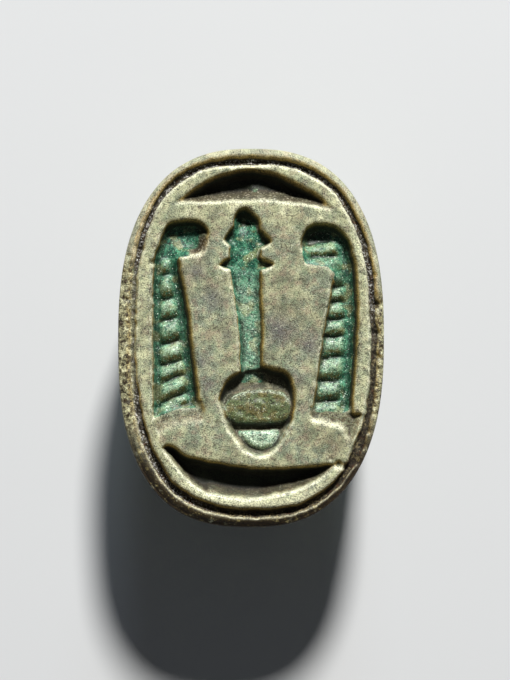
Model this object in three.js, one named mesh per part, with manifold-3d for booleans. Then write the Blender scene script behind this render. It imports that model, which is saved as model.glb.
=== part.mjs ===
// A seal amulet of glazed stone in the shape of a beetle, lying on its back with the carved seal face up.
// Millimetres. +Z up, +Y towards the beetle's head and the top of the seal, +X to the right of the seal.
import * as THREE from "three";
import { mergeVertices } from "three/addons/utils/BufferGeometryUtils.js";
import Module from "manifold-3d";

const wasm = await Module();
wasm.setup();

// The stone as a whole
const LENGTH = 16.4;
const WIDTH = 11.5;
const HEIGHT = 7.2;
const PLATE_THICKNESS = 1.4;
const LEG_BAND_HEIGHT = 2.1;
const EDGE_ROUND = 0.22;
const NECK_DEPTH = 0.3;
const NECK_HEIGHT = 0.55;
const BAND_INSET = 0.1;
const STRING_HOLE_DIAMETER = 1.7;

// The seal's border line and the depths of its sunk signs
const RIM_WIDTH_SIDES = 0.39;
const RIM_WIDTH_ENDS = 0.43;
const BORDER_WIDTH = 0.32;
const BORDER_DEPTH = 0.35;
const BORDER_WALL_SLOPE = 0.07;
const BORDER_OFF_CENTRE = 0.09;
const BASKET_DEPTH = 0.75;
const COLUMN_DEPTH = 0.55;
const STEM_DEPTH = 0.42;
const HEART_DEPTH = 0.7;
const RAMP_END_DEPTH = 0.03;
const RUNG_HEIGHT = 0.28;
const RUNG_WIDTH = 0.5;
const RUNG_TOP_WIDTH = 0.17;
const RUNG_TILT_LEFT = 9;
const RUNG_TILT_RIGHT = 6;

// The beetle's lines
const LINE_WIDTH = 0.24;
const LINE_DEPTH = 0.22;
const LEG_GAP_DEPTH = 0.4;

// Shares of a height or a depth
const NECK_INNER_TOP = 0.35;
const NECK_INNER_FOOT = 0.65;
const UPPER_BASKET_FOOT = 0.5;
const LOWER_BASKET_FOOT = 0.35;
const LEFT_RAMP_START = 0.55;
const RIGHT_RAMP_START = 0.6;
const UPPER_CUSHION_TOP = 0.6;
const LOWER_CUSHION_TOP = 0.65;
const LEG_GAP_FOOT = 0.12;

const HALF_WIDTH = WIDTH / 2;
const HALF_LENGTH = LENGTH / 2;
const RING_SIDES = 96;
const SIGN_CURVE_STEPS = 3;
const LINE_CURVE_STEPS = 12;
const HOLE_SIDES = 32;
const WELD = 1e-5;
const SAME_POINT = 1e-3;
const ABOVE = 0.4;
const BEYOND = 1;

// How square each quarter of an oval is, counted from +X round by +Y: 2 is an ellipse
const STONE_SQUARENESS = [2.55, 2.49, 2.64, 2.46];
const BORDER_SQUARENESS = [2.58, 2.83, 2.61, 2.62];
const DOME_SQUARENESS = 2.35;
const CROWN_FLAT_SHARE = 0.3;
const DOME_RINGS = 9;
const HEAD_START = 0.42;
const HEAD_DROP = 0.5;

const stone = new THREE.MeshStandardMaterial({
  name: "glazed_stone",
  color: 0x8f9277,
  roughness: 0.55,
  metalness: 0,
});

// Closed solids

function solid(geometry) {
  geometry.deleteAttribute("normal");
  geometry.deleteAttribute("uv");
  const merged = mergeVertices(geometry, WELD);
  return new wasm.Manifold(
    new wasm.Mesh({
      numProp: 3,
      vertProperties: new Float32Array(merged.attributes.position.array),
      triVerts: new Uint32Array(merged.index.array),
    }),
  );
}

function solidFromFaces(corners, faces) {
  const geometry = new THREE.BufferGeometry();
  const places = corners.flatMap((p) => [p.x, p.y, p.z]);
  geometry.setAttribute("position", new THREE.Float32BufferAttribute(places, 3));
  geometry.setIndex(faces.flat());
  return solid(geometry);
}

// Faces between neighbouring rings, which have as many corners each and run anticlockwise seen from above.
function bandFaces(upper, lower, sides) {
  const faces = [];
  for (let i = 0; i < sides; i++) {
    const j = (i + 1) % sides;
    faces.push([upper + i, lower + i, lower + j], [upper + i, lower + j, upper + j]);
  }
  return faces;
}

// A solid skinned over rings from the top ring down to the bottom one, both of them flat.
function stackOfRings(rings) {
  const sides = rings[0].length;
  const corners = rings.flat();
  const faces = [];
  for (let k = 0; k + 1 < rings.length; k++) faces.push(...bandFaces(k * sides, (k + 1) * sides, sides));
  const last = (rings.length - 1) * sides;
  const topCentre = corners.push(new THREE.Vector3(0, 0, rings[0][0].z)) - 1;
  const bottomCentre = corners.push(new THREE.Vector3(0, 0, rings.at(-1)[0].z)) - 1;
  for (let i = 0; i < sides; i++) {
    const j = (i + 1) % sides;
    faces.push([topCentre, i, j], [bottomCentre, last + j, last + i]);
  }
  return solidFromFaces(corners, faces);
}

// A ring-shaped solid: its rings follow one another round the section and the last one meets the first.
function closedSweep(rings) {
  const sides = rings[0].length;
  const faces = rings.flatMap((_, k) => bandFaces(k * sides, ((k + 1) % rings.length) * sides, sides));
  return solidFromFaces(rings.flat(), faces);
}

// The oval and the body

// A level ring on an oval of half sizes a across and b along.
function ovalRing(a, b, z, squareness = STONE_SQUARENESS) {
  return Array.from({ length: RING_SIDES }, (_, i) => {
    const power = 2 / squareness[Math.floor((4 * i) / RING_SIDES)];
    const c = Math.cos((2 * Math.PI * i) / RING_SIDES);
    const s = Math.sin((2 * Math.PI * i) / RING_SIDES);
    const across = a * Math.sign(c) * Math.abs(c) ** power;
    const along = b * Math.sign(s) * Math.abs(s) ** power;
    return new THREE.Vector3(across, along, z);
  });
}

const DOME_FOOT = HEIGHT - PLATE_THICKNESS - LEG_BAND_HEIGHT;

// One ring of the beetle's back, at a climb from 0 at the dome's foot to 1 at the flat spot on its crown.
function domeRing(climb, inset) {
  const steepest = Math.acos(CROWN_FLAT_SHARE ** (DOME_SQUARENESS / 2));
  const angle = climb * steepest;
  const spread = Math.cos(angle) ** (2 / DOME_SQUARENESS);
  const depth = (Math.sin(angle) / Math.sin(steepest)) ** (2 / DOME_SQUARENESS);
  const foot = NECK_DEPTH + inset;
  return ovalRing((HALF_WIDTH - foot) * spread, (HALF_LENGTH - foot) * spread, 0).map((p) => {
    const headShare = THREE.MathUtils.smoothstep(p.y / HALF_LENGTH, HEAD_START, 1);
    p.z = DOME_FOOT - (DOME_FOOT - inset) * depth * (1 - HEAD_DROP * headShare);
    return p;
  });
}

// The uncut stone, or the same stone with its sides and back pared by an even inset.
function body(inset) {
  const ring = (extra, z) => ovalRing(HALF_WIDTH - inset - extra, HALF_LENGTH - inset - extra, z);
  const plateFoot = HEIGHT - PLATE_THICKNESS;
  const softCorner = EDGE_ROUND * (1 - Math.SQRT1_2);
  return stackOfRings([
    ring(EDGE_ROUND, HEIGHT),
    ring(softCorner, HEIGHT - softCorner),
    ring(0, HEIGHT - EDGE_ROUND),
    ring(0, plateFoot),
    ring(NECK_DEPTH, plateFoot - NECK_HEIGHT * NECK_INNER_TOP),
    ring(NECK_DEPTH, plateFoot - NECK_HEIGHT * NECK_INNER_FOOT),
    ring(BAND_INSET, plateFoot - NECK_HEIGHT),
    ...Array.from({ length: DOME_RINGS + 1 }, (_, k) => domeRing(k / DOME_RINGS, inset)),
  ]);
}

// The seal face: places are shares of the half width and the half length

// A closed outline made of strokes: two points are a straight stroke, more are a smooth curve through them.
function outline(strokes) {
  const [startX, startY] = strokes[0][0];
  const shape = new THREE.Shape().moveTo(startX * HALF_WIDTH, startY * HALF_LENGTH);
  for (const stroke of strokes) {
    const rest = stroke.slice(1).map(([u, v]) => new THREE.Vector2(u * HALF_WIDTH, v * HALF_LENGTH));
    if (rest.length === 1) shape.lineTo(rest[0].x, rest[0].y);
    else shape.splineThru(rest);
  }
  const isNew = (p, i, all) => i === 0 || p.distanceTo(all[i - 1]) > SAME_POINT;
  const points = shape.getPoints(SIGN_CURVE_STEPS).filter(isNew);
  if (points[0].distanceTo(points.at(-1)) < SAME_POINT) points.pop();
  return THREE.ShapeUtils.isClockWise(points) ? points.reverse() : points;
}

// A cutter for a sunk sign: it starts above the face and goes down to a flat or evenly sloping floor.
function sunk(strokes, depthAt) {
  const points = outline(strokes);
  const count = points.length;
  const cap = THREE.ShapeUtils.triangulateShape(points, []);
  const corners = [
    ...points.map((p) => new THREE.Vector3(p.x, p.y, HEIGHT + ABOVE)),
    ...points.map((p) => new THREE.Vector3(p.x, p.y, HEIGHT - depthAt(p.y / HALF_LENGTH))),
  ];
  const floor = cap.map(([i, j, k]) => [count + k, count + j, count + i]);
  return solidFromFaces(corners, [...bandFaces(0, count, count), ...cap, ...floor]);
}

const even = (depth) => () => depth;

// A depth that changes evenly from one place along the stone to another.
function sloping(from, depthFrom, to, depthTo) {
  return (v) => depthFrom + ((depthTo - depthFrom) * (v - from)) / (to - from);
}

function borderLine() {
  const a = HALF_WIDTH - RIM_WIDTH_SIDES - BORDER_WIDTH / 2;
  const b = HALF_LENGTH - RIM_WIDTH_ENDS - BORDER_WIDTH / 2;
  const wide = BORDER_WIDTH / 2 + BORDER_WALL_SLOPE / 2;
  const narrow = BORDER_WIDTH / 2 - BORDER_WALL_SLOPE;
  const low = HEIGHT - BORDER_DEPTH;
  const high = HEIGHT + ABOVE;
  const edge = (outset, z) => {
    const ring = ovalRing(a + outset, b + outset, z, BORDER_SQUARENESS);
    return ring.map((p) => p.setX(p.x + BORDER_OFF_CENTRE));
  };
  return closedSweep([edge(wide, high), edge(narrow, low), edge(-narrow, low), edge(-wide, high)]);
}

// The basket at the head end: the arc side is the deep one.
function upperBasket() {
  const strokes = [
    [[-0.6, 0.7], [-0.4, 0.7], [0, 0.71], [0.35, 0.695], [0.656, 0.655]],
    [[0.656, 0.655], [0.52, 0.742], [0.22, 0.858], [-0.04, 0.89], [-0.34, 0.828], [-0.6, 0.7]],
  ];
  return sunk(strokes, sloping(0.7, BASKET_DEPTH * UPPER_BASKET_FOOT, 0.89, BASKET_DEPTH));
}

// The basket at the tail end: the straight side is the deep one.
function lowerBasket() {
  const strokes = [
    [[-0.67, -0.585], [-0.6, -0.578], [-0.46, -0.633], [0, -0.69], [0.4, -0.685], [0.66, -0.66]],
    [[0.66, -0.66], [0.52, -0.765], [0.24, -0.84], [-0.05, -0.867], [-0.38, -0.816], [-0.56, -0.69],
      [-0.67, -0.585]],
  ];
  return sunk(strokes, sloping(-0.6, BASKET_DEPTH, -0.87, BASKET_DEPTH * LOWER_BASKET_FOOT));
}

// Turns a section drawn as length and height, and extruded, so that it runs across the stone.
const ACROSS = new THREE.Matrix4().makeBasis(
  new THREE.Vector3(0, 1, 0),
  new THREE.Vector3(0, 0, 1),
  new THREE.Vector3(1, 0, 0),
);

// One raised rung across a sunk column.
function rung(fromU, toU, v, tiltDegrees) {
  const section = new THREE.Shape([
    new THREE.Vector2(-RUNG_WIDTH / 2, -ABOVE),
    new THREE.Vector2(RUNG_WIDTH / 2, -ABOVE),
    new THREE.Vector2(RUNG_WIDTH / 2, 0),
    new THREE.Vector2(RUNG_TOP_WIDTH / 2, RUNG_HEIGHT),
    new THREE.Vector2(-RUNG_TOP_WIDTH / 2, RUNG_HEIGHT),
    new THREE.Vector2(-RUNG_WIDTH / 2, 0),
  ]);
  const length = (toU - fromU) * HALF_WIDTH;
  const geometry = new THREE.ExtrudeGeometry(section, { depth: length, bevelEnabled: false, steps: 1 });
  geometry.translate(0, 0, -length / 2);
  geometry.applyMatrix4(ACROSS);
  geometry.rotateZ(THREE.MathUtils.degToRad(tiltDegrees));
  geometry.translate(((fromU + toU) / 2) * HALF_WIDTH, v * HALF_LENGTH, HEIGHT - COLUMN_DEPTH);
  return solid(geometry);
}

// The left column: a rounded head that leans inwards over a strip of rungs, with a shallow ramp at its foot.
function leftColumn() {
  const strokes = [
    [[-0.695, 0.51], [-0.665, 0.57], [-0.6, 0.607], [-0.45, 0.62], [-0.345, 0.585], [-0.308, 0.52],
      [-0.33, 0.455], [-0.385, 0.417], [-0.515, 0.408]],
    [[-0.515, 0.408], [-0.52, 0.36], [-0.46, 0.14], [-0.41, -0.15], [-0.37, -0.4]],
    [[-0.37, -0.4], [-0.53, -0.4], [-0.735, -0.443]],
    [[-0.735, -0.443], [-0.735, 0.14], [-0.725, 0.4], [-0.695, 0.51]],
  ];
  const ramp = [
    [[-0.36, -0.37], [-0.73, -0.4]],
    [[-0.73, -0.4], [-0.7, -0.52]],
    [[-0.7, -0.52], [-0.42, -0.47]],
    [[-0.42, -0.47], [-0.36, -0.37]],
  ];
  const startAt = (v) => -0.762 - 0.1 * v;
  const endAt = (v) => -0.343 - 0.15 * v;
  const rungs = [0.383, 0.249, 0.147, 0.039, -0.066, -0.169, -0.248, -0.353].map((v) =>
    rung(startAt(v), endAt(v), v, RUNG_TILT_LEFT),
  );
  return rungs
    .reduce((cutter, bar) => cutter.subtract(bar), sunk(strokes, even(COLUMN_DEPTH)))
    .add(sunk(ramp, sloping(-0.38, COLUMN_DEPTH * LEFT_RAMP_START, -0.52, RAMP_END_DEPTH)));
}

// The right column: a wider strip whose head hooks inwards and ramps up to the face under the hook.
function rightColumn() {
  const strokes = [
    [[0.375, 0.53], [0.42, 0.575], [0.52, 0.594], [0.635, 0.583], [0.71, 0.53], [0.755, 0.455]],
    [[0.755, 0.455], [0.782, 0.35], [0.792, 0.15], [0.785, -0.05], [0.75, -0.41]],
    [[0.75, -0.41], [0.44, -0.425]],
    [[0.44, -0.425], [0.49, -0.2], [0.53, 0], [0.575, 0.17], [0.6, 0.35]],
    [[0.6, 0.35], [0.56, 0.385], [0.42, 0.415], [0.37, 0.46], [0.375, 0.53]],
  ];
  const ramp = [
    [[0.43, -0.39], [0.44, -0.455]],
    [[0.44, -0.455], [0.69, -0.52]],
    [[0.69, -0.52], [0.76, -0.39]],
    [[0.76, -0.39], [0.43, -0.39]],
  ];
  const startAt = (v) => 0.45 + 0.2 * v;
  const endAt = (v) => 0.7 + 0.06 * v;
  const rungs = [0.473, 0.394, 0.31, 0.226, 0.147, 0.063, -0.042, -0.164, -0.279, -0.385].map((v) =>
    rung(startAt(v), endAt(v), v, RUNG_TILT_RIGHT),
  );
  return rungs
    .reduce((cutter, bar) => cutter.subtract(bar), sunk(strokes, even(COLUMN_DEPTH)))
    .add(sunk(ramp, sloping(-0.39, COLUMN_DEPTH * RIGHT_RAMP_START, -0.52, RAMP_END_DEPTH)));
}

// The middle sign: a pointed top with two pairs of side barbs, a long stem and a heart-shaped foot.
function middleSign() {
  const stem = [
    [[-0.042, 0.685], [-0.125, 0.655], [-0.15, 0.58]],
    [[-0.15, 0.58], [-0.215, 0.522]],
    [[-0.215, 0.522], [-0.162, 0.485]],
    [[-0.162, 0.485], [-0.162, 0.43]],
    [[-0.162, 0.43], [-0.245, 0.383]],
    [[-0.245, 0.383], [-0.16, 0.355]],
    [[-0.16, 0.355], [-0.115, 0.17], [-0.08, -0.25]],
    [[-0.08, -0.25], [0.085, -0.25]],
    [[0.085, -0.25], [0.083, 0.01], [0.065, 0.34]],
    [[0.065, 0.34], [0.19, 0.392]],
    [[0.19, 0.392], [0.065, 0.42]],
    [[0.065, 0.42], [0.08, 0.465]],
    [[0.08, 0.465], [0.16, 0.51]],
    [[0.16, 0.51], [0.07, 0.565]],
    [[0.07, 0.565], [0.055, 0.62], [-0.042, 0.685]],
  ];
  const heart = [
    [[-0.115, -0.195], [-0.2, -0.26], [-0.243, -0.34], [-0.22, -0.41], [-0.15, -0.53], [-0.05, -0.61],
      [0.06, -0.635], [0.18, -0.595], [0.28, -0.45], [0.323, -0.32], [0.27, -0.22], [0.18, -0.172]],
    [[0.18, -0.172], [-0.115, -0.195]],
  ];
  const upperCushion = [
    [[-0.19, -0.29], [0.3, -0.28]],
    [[0.3, -0.28], [0.255, -0.445]],
    [[0.255, -0.445], [-0.17, -0.455]],
    [[-0.17, -0.455], [-0.19, -0.29]],
  ];
  const lowerCushion = [
    [[-0.12, -0.49], [0.2, -0.485]],
    [[0.2, -0.485], [0.15, -0.57]],
    [[0.15, -0.57], [-0.03, -0.58]],
    [[-0.03, -0.58], [-0.12, -0.49]],
  ];
  const cushions = cushion(upperCushion, UPPER_CUSHION_TOP).add(cushion(lowerCushion, LOWER_CUSHION_TOP));
  return sunk(stem, even(STEM_DEPTH)).add(sunk(heart, even(HEART_DEPTH)).subtract(cushions));
}

// A flat pad left standing on the heart's floor. Its top is a share of the heart's depth under the face.
function cushion(strokes, depthShare) {
  const shape = new THREE.Shape(outline(strokes));
  const geometry = new THREE.ExtrudeGeometry(shape, { depth: HEIGHT / 2, bevelEnabled: false });
  geometry.translate(0, 0, HEIGHT / 2 - HEART_DEPTH * depthShare);
  return solid(geometry);
}

// The beetle's lines on the back and sides

// An upright wall that follows points on the plan, as wide as one engraved line.
function lineWall(points) {
  const marks = toPlan(points);
  const path = marks.length > 2 ? new THREE.SplineCurve(marks).getPoints(LINE_CURVE_STEPS) : marks;
  const sideOf = (offset) => path.map((p, i) => {
    const along = path[Math.min(i + 1, path.length - 1)].clone().sub(path[Math.max(i - 1, 0)]).normalize();
    return new THREE.Vector2(p.x - along.y * offset, p.y + along.x * offset);
  });
  const shape = new THREE.Shape([...sideOf(-LINE_WIDTH / 2), ...sideOf(LINE_WIDTH / 2).reverse()]);
  const geometry = new THREE.ExtrudeGeometry(shape, { depth: DOME_FOOT + ABOVE, bevelEnabled: false });
  geometry.translate(0, 0, -ABOVE);
  return solid(geometry);
}

const toPlan = (points) => points.map(([u, v]) => new THREE.Vector2(u * HALF_WIDTH, v * HALF_LENGTH));
const mirrored = (points) => points.map(([u, v]) => [-u, v]);

function backLines() {
  const wingJoint = [[0, 0.2], [0, -1.02]];
  const shieldLine = [[-1.02, 0.34], [-0.55, 0.24], [0, 0.2], [0.55, 0.24], [1.02, 0.34]];
  const neckLine = [[-1.02, 0.5], [-0.5, 0.6], [0, 0.63], [0.5, 0.6], [1.02, 0.5]];
  const shoulderNotch = [[0.56, 0.22], [0.5, 0.08]];
  const faceSide = [[0.34, 0.64], [0.22, 1.02]];
  const pairs = [shoulderNotch, mirrored(shoulderNotch), faceSide, mirrored(faceSide)];
  const lines = [wingJoint, shieldLine, neckLine, ...pairs];
  return lines.map(lineWall).reduce((all, wall) => all.add(wall));
}

// Gaps between the three pairs of folded legs, cut straight through from side to side.
function legGaps() {
  const top = HEIGHT - PLATE_THICKNESS - NECK_HEIGHT;
  const low = DOME_FOOT + LEG_BAND_HEIGHT * LEG_GAP_FOOT;
  const gaps = [
    [0.62, 0.4, 0.36, 0.5],
    [0.24, 0.0, 0.02, 0.18],
    [-0.14, -0.42, -0.32, -0.16],
    [-0.54, -0.74, -0.68, -0.6],
  ];
  return gaps
    .map(([topFront, topBack, lowBack, lowFront]) => {
      const corner = (share, z) => new THREE.Vector2(share * HALF_LENGTH, z);
      const shape = new THREE.Shape([
        corner(lowFront, low),
        corner(topFront, top),
        corner(topBack, top),
        corner(lowBack, low),
      ]);
      const geometry = new THREE.ExtrudeGeometry(shape, { depth: WIDTH + 2 * BEYOND, bevelEnabled: false });
      geometry.translate(0, 0, -HALF_WIDTH - BEYOND);
      geometry.applyMatrix4(ACROSS);
      return solid(geometry);
    })
    .reduce((all, gap) => all.add(gap));
}

// The hole for a string, drilled lengthwise between the seal plate and the dome.
function stringHole() {
  const radius = STRING_HOLE_DIAMETER / 2;
  const geometry = new THREE.CylinderGeometry(radius, radius, LENGTH + 2 * BEYOND, HOLE_SIDES);
  geometry.translate(0, 0, HEIGHT - PLATE_THICKNESS - NECK_HEIGHT - radius);
  return solid(geometry);
}

function amulet() {
  const sealCuts = [borderLine(), upperBasket(), lowerBasket(), leftColumn(), rightColumn(), middleSign()];
  const carved = sealCuts.reduce((stoneSolid, cut) => stoneSolid.subtract(cut), body(0));
  return carved
    .subtract(backLines().subtract(body(LINE_DEPTH)))
    .subtract(legGaps().subtract(body(LEG_GAP_DEPTH)))
    .subtract(stringHole());
}

function meshOf(manifold, name, material) {
  const { vertProperties, triVerts, numProp } = manifold.getMesh();
  const geometry = new THREE.BufferGeometry();
  geometry.setAttribute("position", new THREE.BufferAttribute(new Float32Array(vertProperties), numProp));
  geometry.setIndex(new THREE.BufferAttribute(new Uint32Array(triVerts), 1));
  geometry.computeVertexNormals();
  const mesh = new THREE.Mesh(geometry, material);
  mesh.name = name;
  return mesh;
}

const root = new THREE.Group();
root.add(meshOf(amulet(), "scarab", stone));

export default root;
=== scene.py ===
# %% [markdown]
# A scarab amulet
#
# The object is one small carved stone: a beetle of glazed soapstone, 16 mm long, lying on its back with the
# flat seal face up. Nearly all that shows is relief and what 3,500 years did to it: glaze left in the cuts,
# bare worn stone on the high parts, dirt in the border line. So the lesson is about one mesh and one
# material, and most of the work goes into knowing, at each place of the face, how far it is from the edge
# of a cut.

# %% Load the frame
import math

import bpy
import numpy as np
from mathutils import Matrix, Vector


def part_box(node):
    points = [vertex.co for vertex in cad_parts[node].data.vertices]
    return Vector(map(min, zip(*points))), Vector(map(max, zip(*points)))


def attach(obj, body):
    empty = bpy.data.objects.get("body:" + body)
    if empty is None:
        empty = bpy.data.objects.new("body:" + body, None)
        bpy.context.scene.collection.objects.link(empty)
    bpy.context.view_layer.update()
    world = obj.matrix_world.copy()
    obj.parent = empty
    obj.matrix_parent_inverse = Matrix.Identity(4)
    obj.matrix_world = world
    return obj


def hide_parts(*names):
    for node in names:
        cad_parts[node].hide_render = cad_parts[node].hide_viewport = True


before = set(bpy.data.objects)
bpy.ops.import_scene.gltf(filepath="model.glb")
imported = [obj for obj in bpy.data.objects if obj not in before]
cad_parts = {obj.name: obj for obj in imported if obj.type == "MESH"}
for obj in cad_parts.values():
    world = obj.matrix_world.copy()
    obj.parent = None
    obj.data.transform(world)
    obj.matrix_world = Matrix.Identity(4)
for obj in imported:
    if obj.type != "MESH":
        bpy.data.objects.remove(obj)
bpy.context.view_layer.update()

MM = 0.001
low, high = (np.array(corner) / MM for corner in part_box("scarab"))
HALF_WIDTH = (high[0] - low[0]) / 2
HALF_LENGTH = (high[1] - low[1]) / 2
TOP = high[2]
print("amulet", 2 * HALF_WIDTH, "by", 2 * HALF_LENGTH, "by", TOP, "mm")

# %% [markdown]
# Plain numbers first. A soft step turns a distance into a share from 0 to 1 without a crease. Hand-made
# things are never quite even, so a lattice of seeded random values, smoothed between its points, gives
# every wobble, lump and stain below. The seed makes each run the same.

# %% Soft steps and unevenness
LATTICE = 256


def soft_step(value, start, end):
    """0 before start and 1 past end; where start is above end, it fades out instead."""
    share = np.clip((value - start) / (end - start), 0, 1)
    return share * share * (3 - 2 * share)


def between_corners(corner, across, along):
    """A value inside a square, from a function that reads its four corners."""
    near = corner(0, 0) * (1 - across) + corner(1, 0) * across
    far = corner(0, 1) * (1 - across) + corner(1, 1) * across
    return near * (1 - along) + far * along


def lumps(x, y, size, seed):
    """Smooth random values from -1 to 1, with lumps of about this size in millimetres."""
    lattice = np.random.default_rng(seed).uniform(-1, 1, (LATTICE, LATTICE))
    column, row = np.floor(x / size).astype(int), np.floor(y / size).astype(int)
    across, along = soft_step(x / size - column, 0, 1), soft_step(y / size - row, 0, 1)
    return between_corners(lambda i, j: lattice[(column + i) % LATTICE, (row + j) % LATTICE], across, along)


print("lumps from", lumps(np.arange(9.0), 0 * np.arange(9.0), 0.7, 1).round(2))

# %% [markdown]
# The stone's outline is a squared oval. Its quarters differ a little, because it was rounded by hand: each
# has its own squareness, where 2 would be an ellipse. The border line is a second such oval inside it. A
# formula gives the distance to an oval well enough near its edge: how far out a place is, over how fast
# that changes there.

# %% The two ovals
STONE_SQUARENESS = (2.55, 2.49, 2.64, 2.46)
BORDER_SQUARENESS = (2.58, 2.83, 2.61, 2.62)
BORDER_INSET_SIDES, BORDER_INSET_ENDS, BORDER_OFF_CENTRE = 0.55, 0.59, 0.09


def quarter_power(x, y, squareness):
    right_top, left_top, left_low, right_low = squareness
    return np.where(y >= 0, np.where(x >= 0, right_top, left_top), np.where(x >= 0, right_low, left_low))


def out_share(x, y, half_width, half_length, squareness):
    """How far out a place is: 0 in the middle, 1 on the oval."""
    power = quarter_power(x, y, squareness)
    return ((np.abs(x) / half_width) ** power + (np.abs(y) / half_length) ** power) ** (1 / power)


def distance_inside(x, y, half_width, half_length, squareness):
    """Millimetres from the oval's edge, positive inside."""
    power = quarter_power(x, y, squareness)
    share = np.maximum(out_share(x, y, half_width, half_length, squareness), 1e-6)
    slope_x = (np.abs(x) / half_width) ** (power - 1) / half_width * share ** (1 - power)
    slope_y = (np.abs(y) / half_length) ** (power - 1) / half_length * share ** (1 - power)
    return (1 - share) / np.maximum(np.hypot(slope_x, slope_y), 1e-6)


def distance_to_rim(x, y):
    return distance_inside(x, y, HALF_WIDTH, HALF_LENGTH, STONE_SQUARENESS)


print("border line runs", BORDER_INSET_SIDES, "mm inside the widest places")

# %% [markdown]
# The signs are drawn as a carver would mark them out: a few strokes round each, straight or smoothly
# curved. Places are shares of the half width and half length, so the drawing follows the stone. Each stroke
# also says how far its wall runs out as it goes down: 0.15 mm is a wall cut nearly upright, 0.6 mm is a
# gentle slope. That one number is what makes the two baskets read as scooped and the columns as cut.

# %% The strokes of the signs
STEEP, FIRM, SLANT, SOFT, GENTLE = 0.15, 0.22, 0.34, 0.42, 0.62

# Each stroke starts where the one before it ends, and the first starts where the last ends
UPPER_BASKET = [
    (GENTLE, [(-0.4, 0.7), (0, 0.71), (0.35, 0.695), (0.656, 0.655)]),
    (SLANT, [(0.52, 0.742), (0.22, 0.858), (-0.04, 0.89), (-0.34, 0.828), (-0.6, 0.7)]),
]
LOWER_BASKET = [
    (STEEP, [(-0.63, -0.568), (-0.57, -0.583), (-0.46, -0.633), (0, -0.69), (0.4, -0.685), (0.66, -0.66)]),
    (GENTLE, [(0.52, -0.765), (0.24, -0.84), (-0.05, -0.867), (-0.3, -0.838)]),
    (SLANT, [(-0.44, -0.785), (-0.58, -0.68), (-0.675, -0.585)]),
]
LEFT_COLUMN = [
    (FIRM, [(-0.665, 0.57), (-0.6, 0.607), (-0.45, 0.62), (-0.345, 0.585), (-0.308, 0.52)]),
    (GENTLE, [(-0.33, 0.455), (-0.385, 0.417), (-0.515, 0.408)]),
    (SLANT, [(-0.52, 0.36), (-0.46, 0.14), (-0.41, -0.15), (-0.37, -0.4)]),
    (SOFT, [(-0.53, -0.4), (-0.748, -0.443)]),
    (FIRM, [(-0.752, 0.14), (-0.742, 0.4), (-0.695, 0.51)]),
]
LEFT_RAMP = [
    (STEEP, [(-0.74, -0.36)]),
    (FIRM, [(-0.73, -0.48), (-0.67, -0.54)]),
    (GENTLE, [(-0.6, -0.5), (-0.42, -0.465)]),
    (FIRM, [(-0.34, -0.43), (-0.36, -0.33)]),
]
RIGHT_COLUMN = [
    (FIRM, [(0.42, 0.578), (0.52, 0.598), (0.635, 0.585), (0.72, 0.53), (0.77, 0.455)]),
    (SLANT, [(0.803, 0.35), (0.817, 0.15), (0.81, -0.05), (0.77, -0.41)]),
    (SOFT, [(0.44, -0.425)]),
    (STEEP, [(0.49, -0.2), (0.53, 0), (0.575, 0.17), (0.605, 0.33)]),
    (GENTLE, [(0.56, 0.358), (0.46, 0.365), (0.39, 0.39), (0.368, 0.44)]),
    (STEEP, [(0.366, 0.49), (0.375, 0.53)]),
]
RIGHT_RAMP = [
    (STEEP, [(0.44, -0.455)]),
    (SOFT, [(0.57, -0.475), (0.66, -0.495), (0.69, -0.53)]),
    (SOFT, [(0.75, -0.59), (0.84, -0.45), (0.84, -0.41)]),
    (STEEP, [(0.77, -0.4), (0.76, -0.36)]),
    (STEEP, [(0.43, -0.36)]),
]
STEM = [
    (FIRM, [(-0.125, 0.66), (-0.145, 0.595)]),
    (STEEP, [(-0.215, 0.513)]),
    (STEEP, [(-0.175, 0.482)]),
    (STEEP, [(-0.175, 0.425)]),
    (STEEP, [(-0.255, 0.377)]),
    (STEEP, [(-0.178, 0.35)]),
    (FIRM, [(-0.132, 0.16), (-0.104, 0), (-0.1, -0.25)]),
    (STEEP, [(0.105, -0.25)]),
    (SLANT, [(0.108, 0), (0.102, 0.2), (0.098, 0.34)]),
    (STEEP, [(0.195, 0.385)]),
    (FIRM, [(0.082, 0.42)]),
    (STEEP, [(0.09, 0.462)]),
    (STEEP, [(0.168, 0.5)]),
    (FIRM, [(0.085, 0.57)]),
    (FIRM, [(0.06, 0.625), (-0.045, 0.69)]),
]
HEART = [
    (SLANT, [(-0.185, -0.222), (-0.243, -0.285), (-0.25, -0.36), (-0.205, -0.45), (-0.14, -0.54)]),
    (SOFT, [(-0.07, -0.6), (0.02, -0.635), (0.1, -0.638), (0.18, -0.612), (0.252, -0.545)]),
    (SLANT, [(0.305, -0.46), (0.342, -0.35), (0.32, -0.25), (0.265, -0.185), (0.15, -0.155)]),
    (STEEP, [(0.03, -0.158), (-0.09, -0.175)]),
]
UPPER_CUSHION = [
    (FIRM, [(-0.11, -0.278), (0, -0.262), (0.13, -0.258), (0.25, -0.275), (0.305, -0.315)]),
    (FIRM, [(0.32, -0.36), (0.3, -0.42), (0.25, -0.46)]),
    (STEEP, [(0.03, -0.47), (-0.15, -0.462)]),
    (FIRM, [(-0.21, -0.41), (-0.22, -0.36), (-0.18, -0.315)]),
]
LOWER_CUSHION = [
    (STEEP, [(0.03, -0.483), (0.22, -0.476)]),
    (FIRM, [(0.22, -0.52), (0.16, -0.578), (0.07, -0.6), (-0.03, -0.572), (-0.1, -0.52), (-0.115, -0.479)]),
]
SIGNS = {
    "upper basket": UPPER_BASKET, "lower basket": LOWER_BASKET, "left column": LEFT_COLUMN,
    "left ramp": LEFT_RAMP, "right column": RIGHT_COLUMN, "right ramp": RIGHT_RAMP, "stem": STEM,
    "heart": HEART, "upper cushion": UPPER_CUSHION, "lower cushion": LOWER_CUSHION,
}
SUNK_SIGNS = [name for name in SIGNS if "cushion" not in name]


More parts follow.
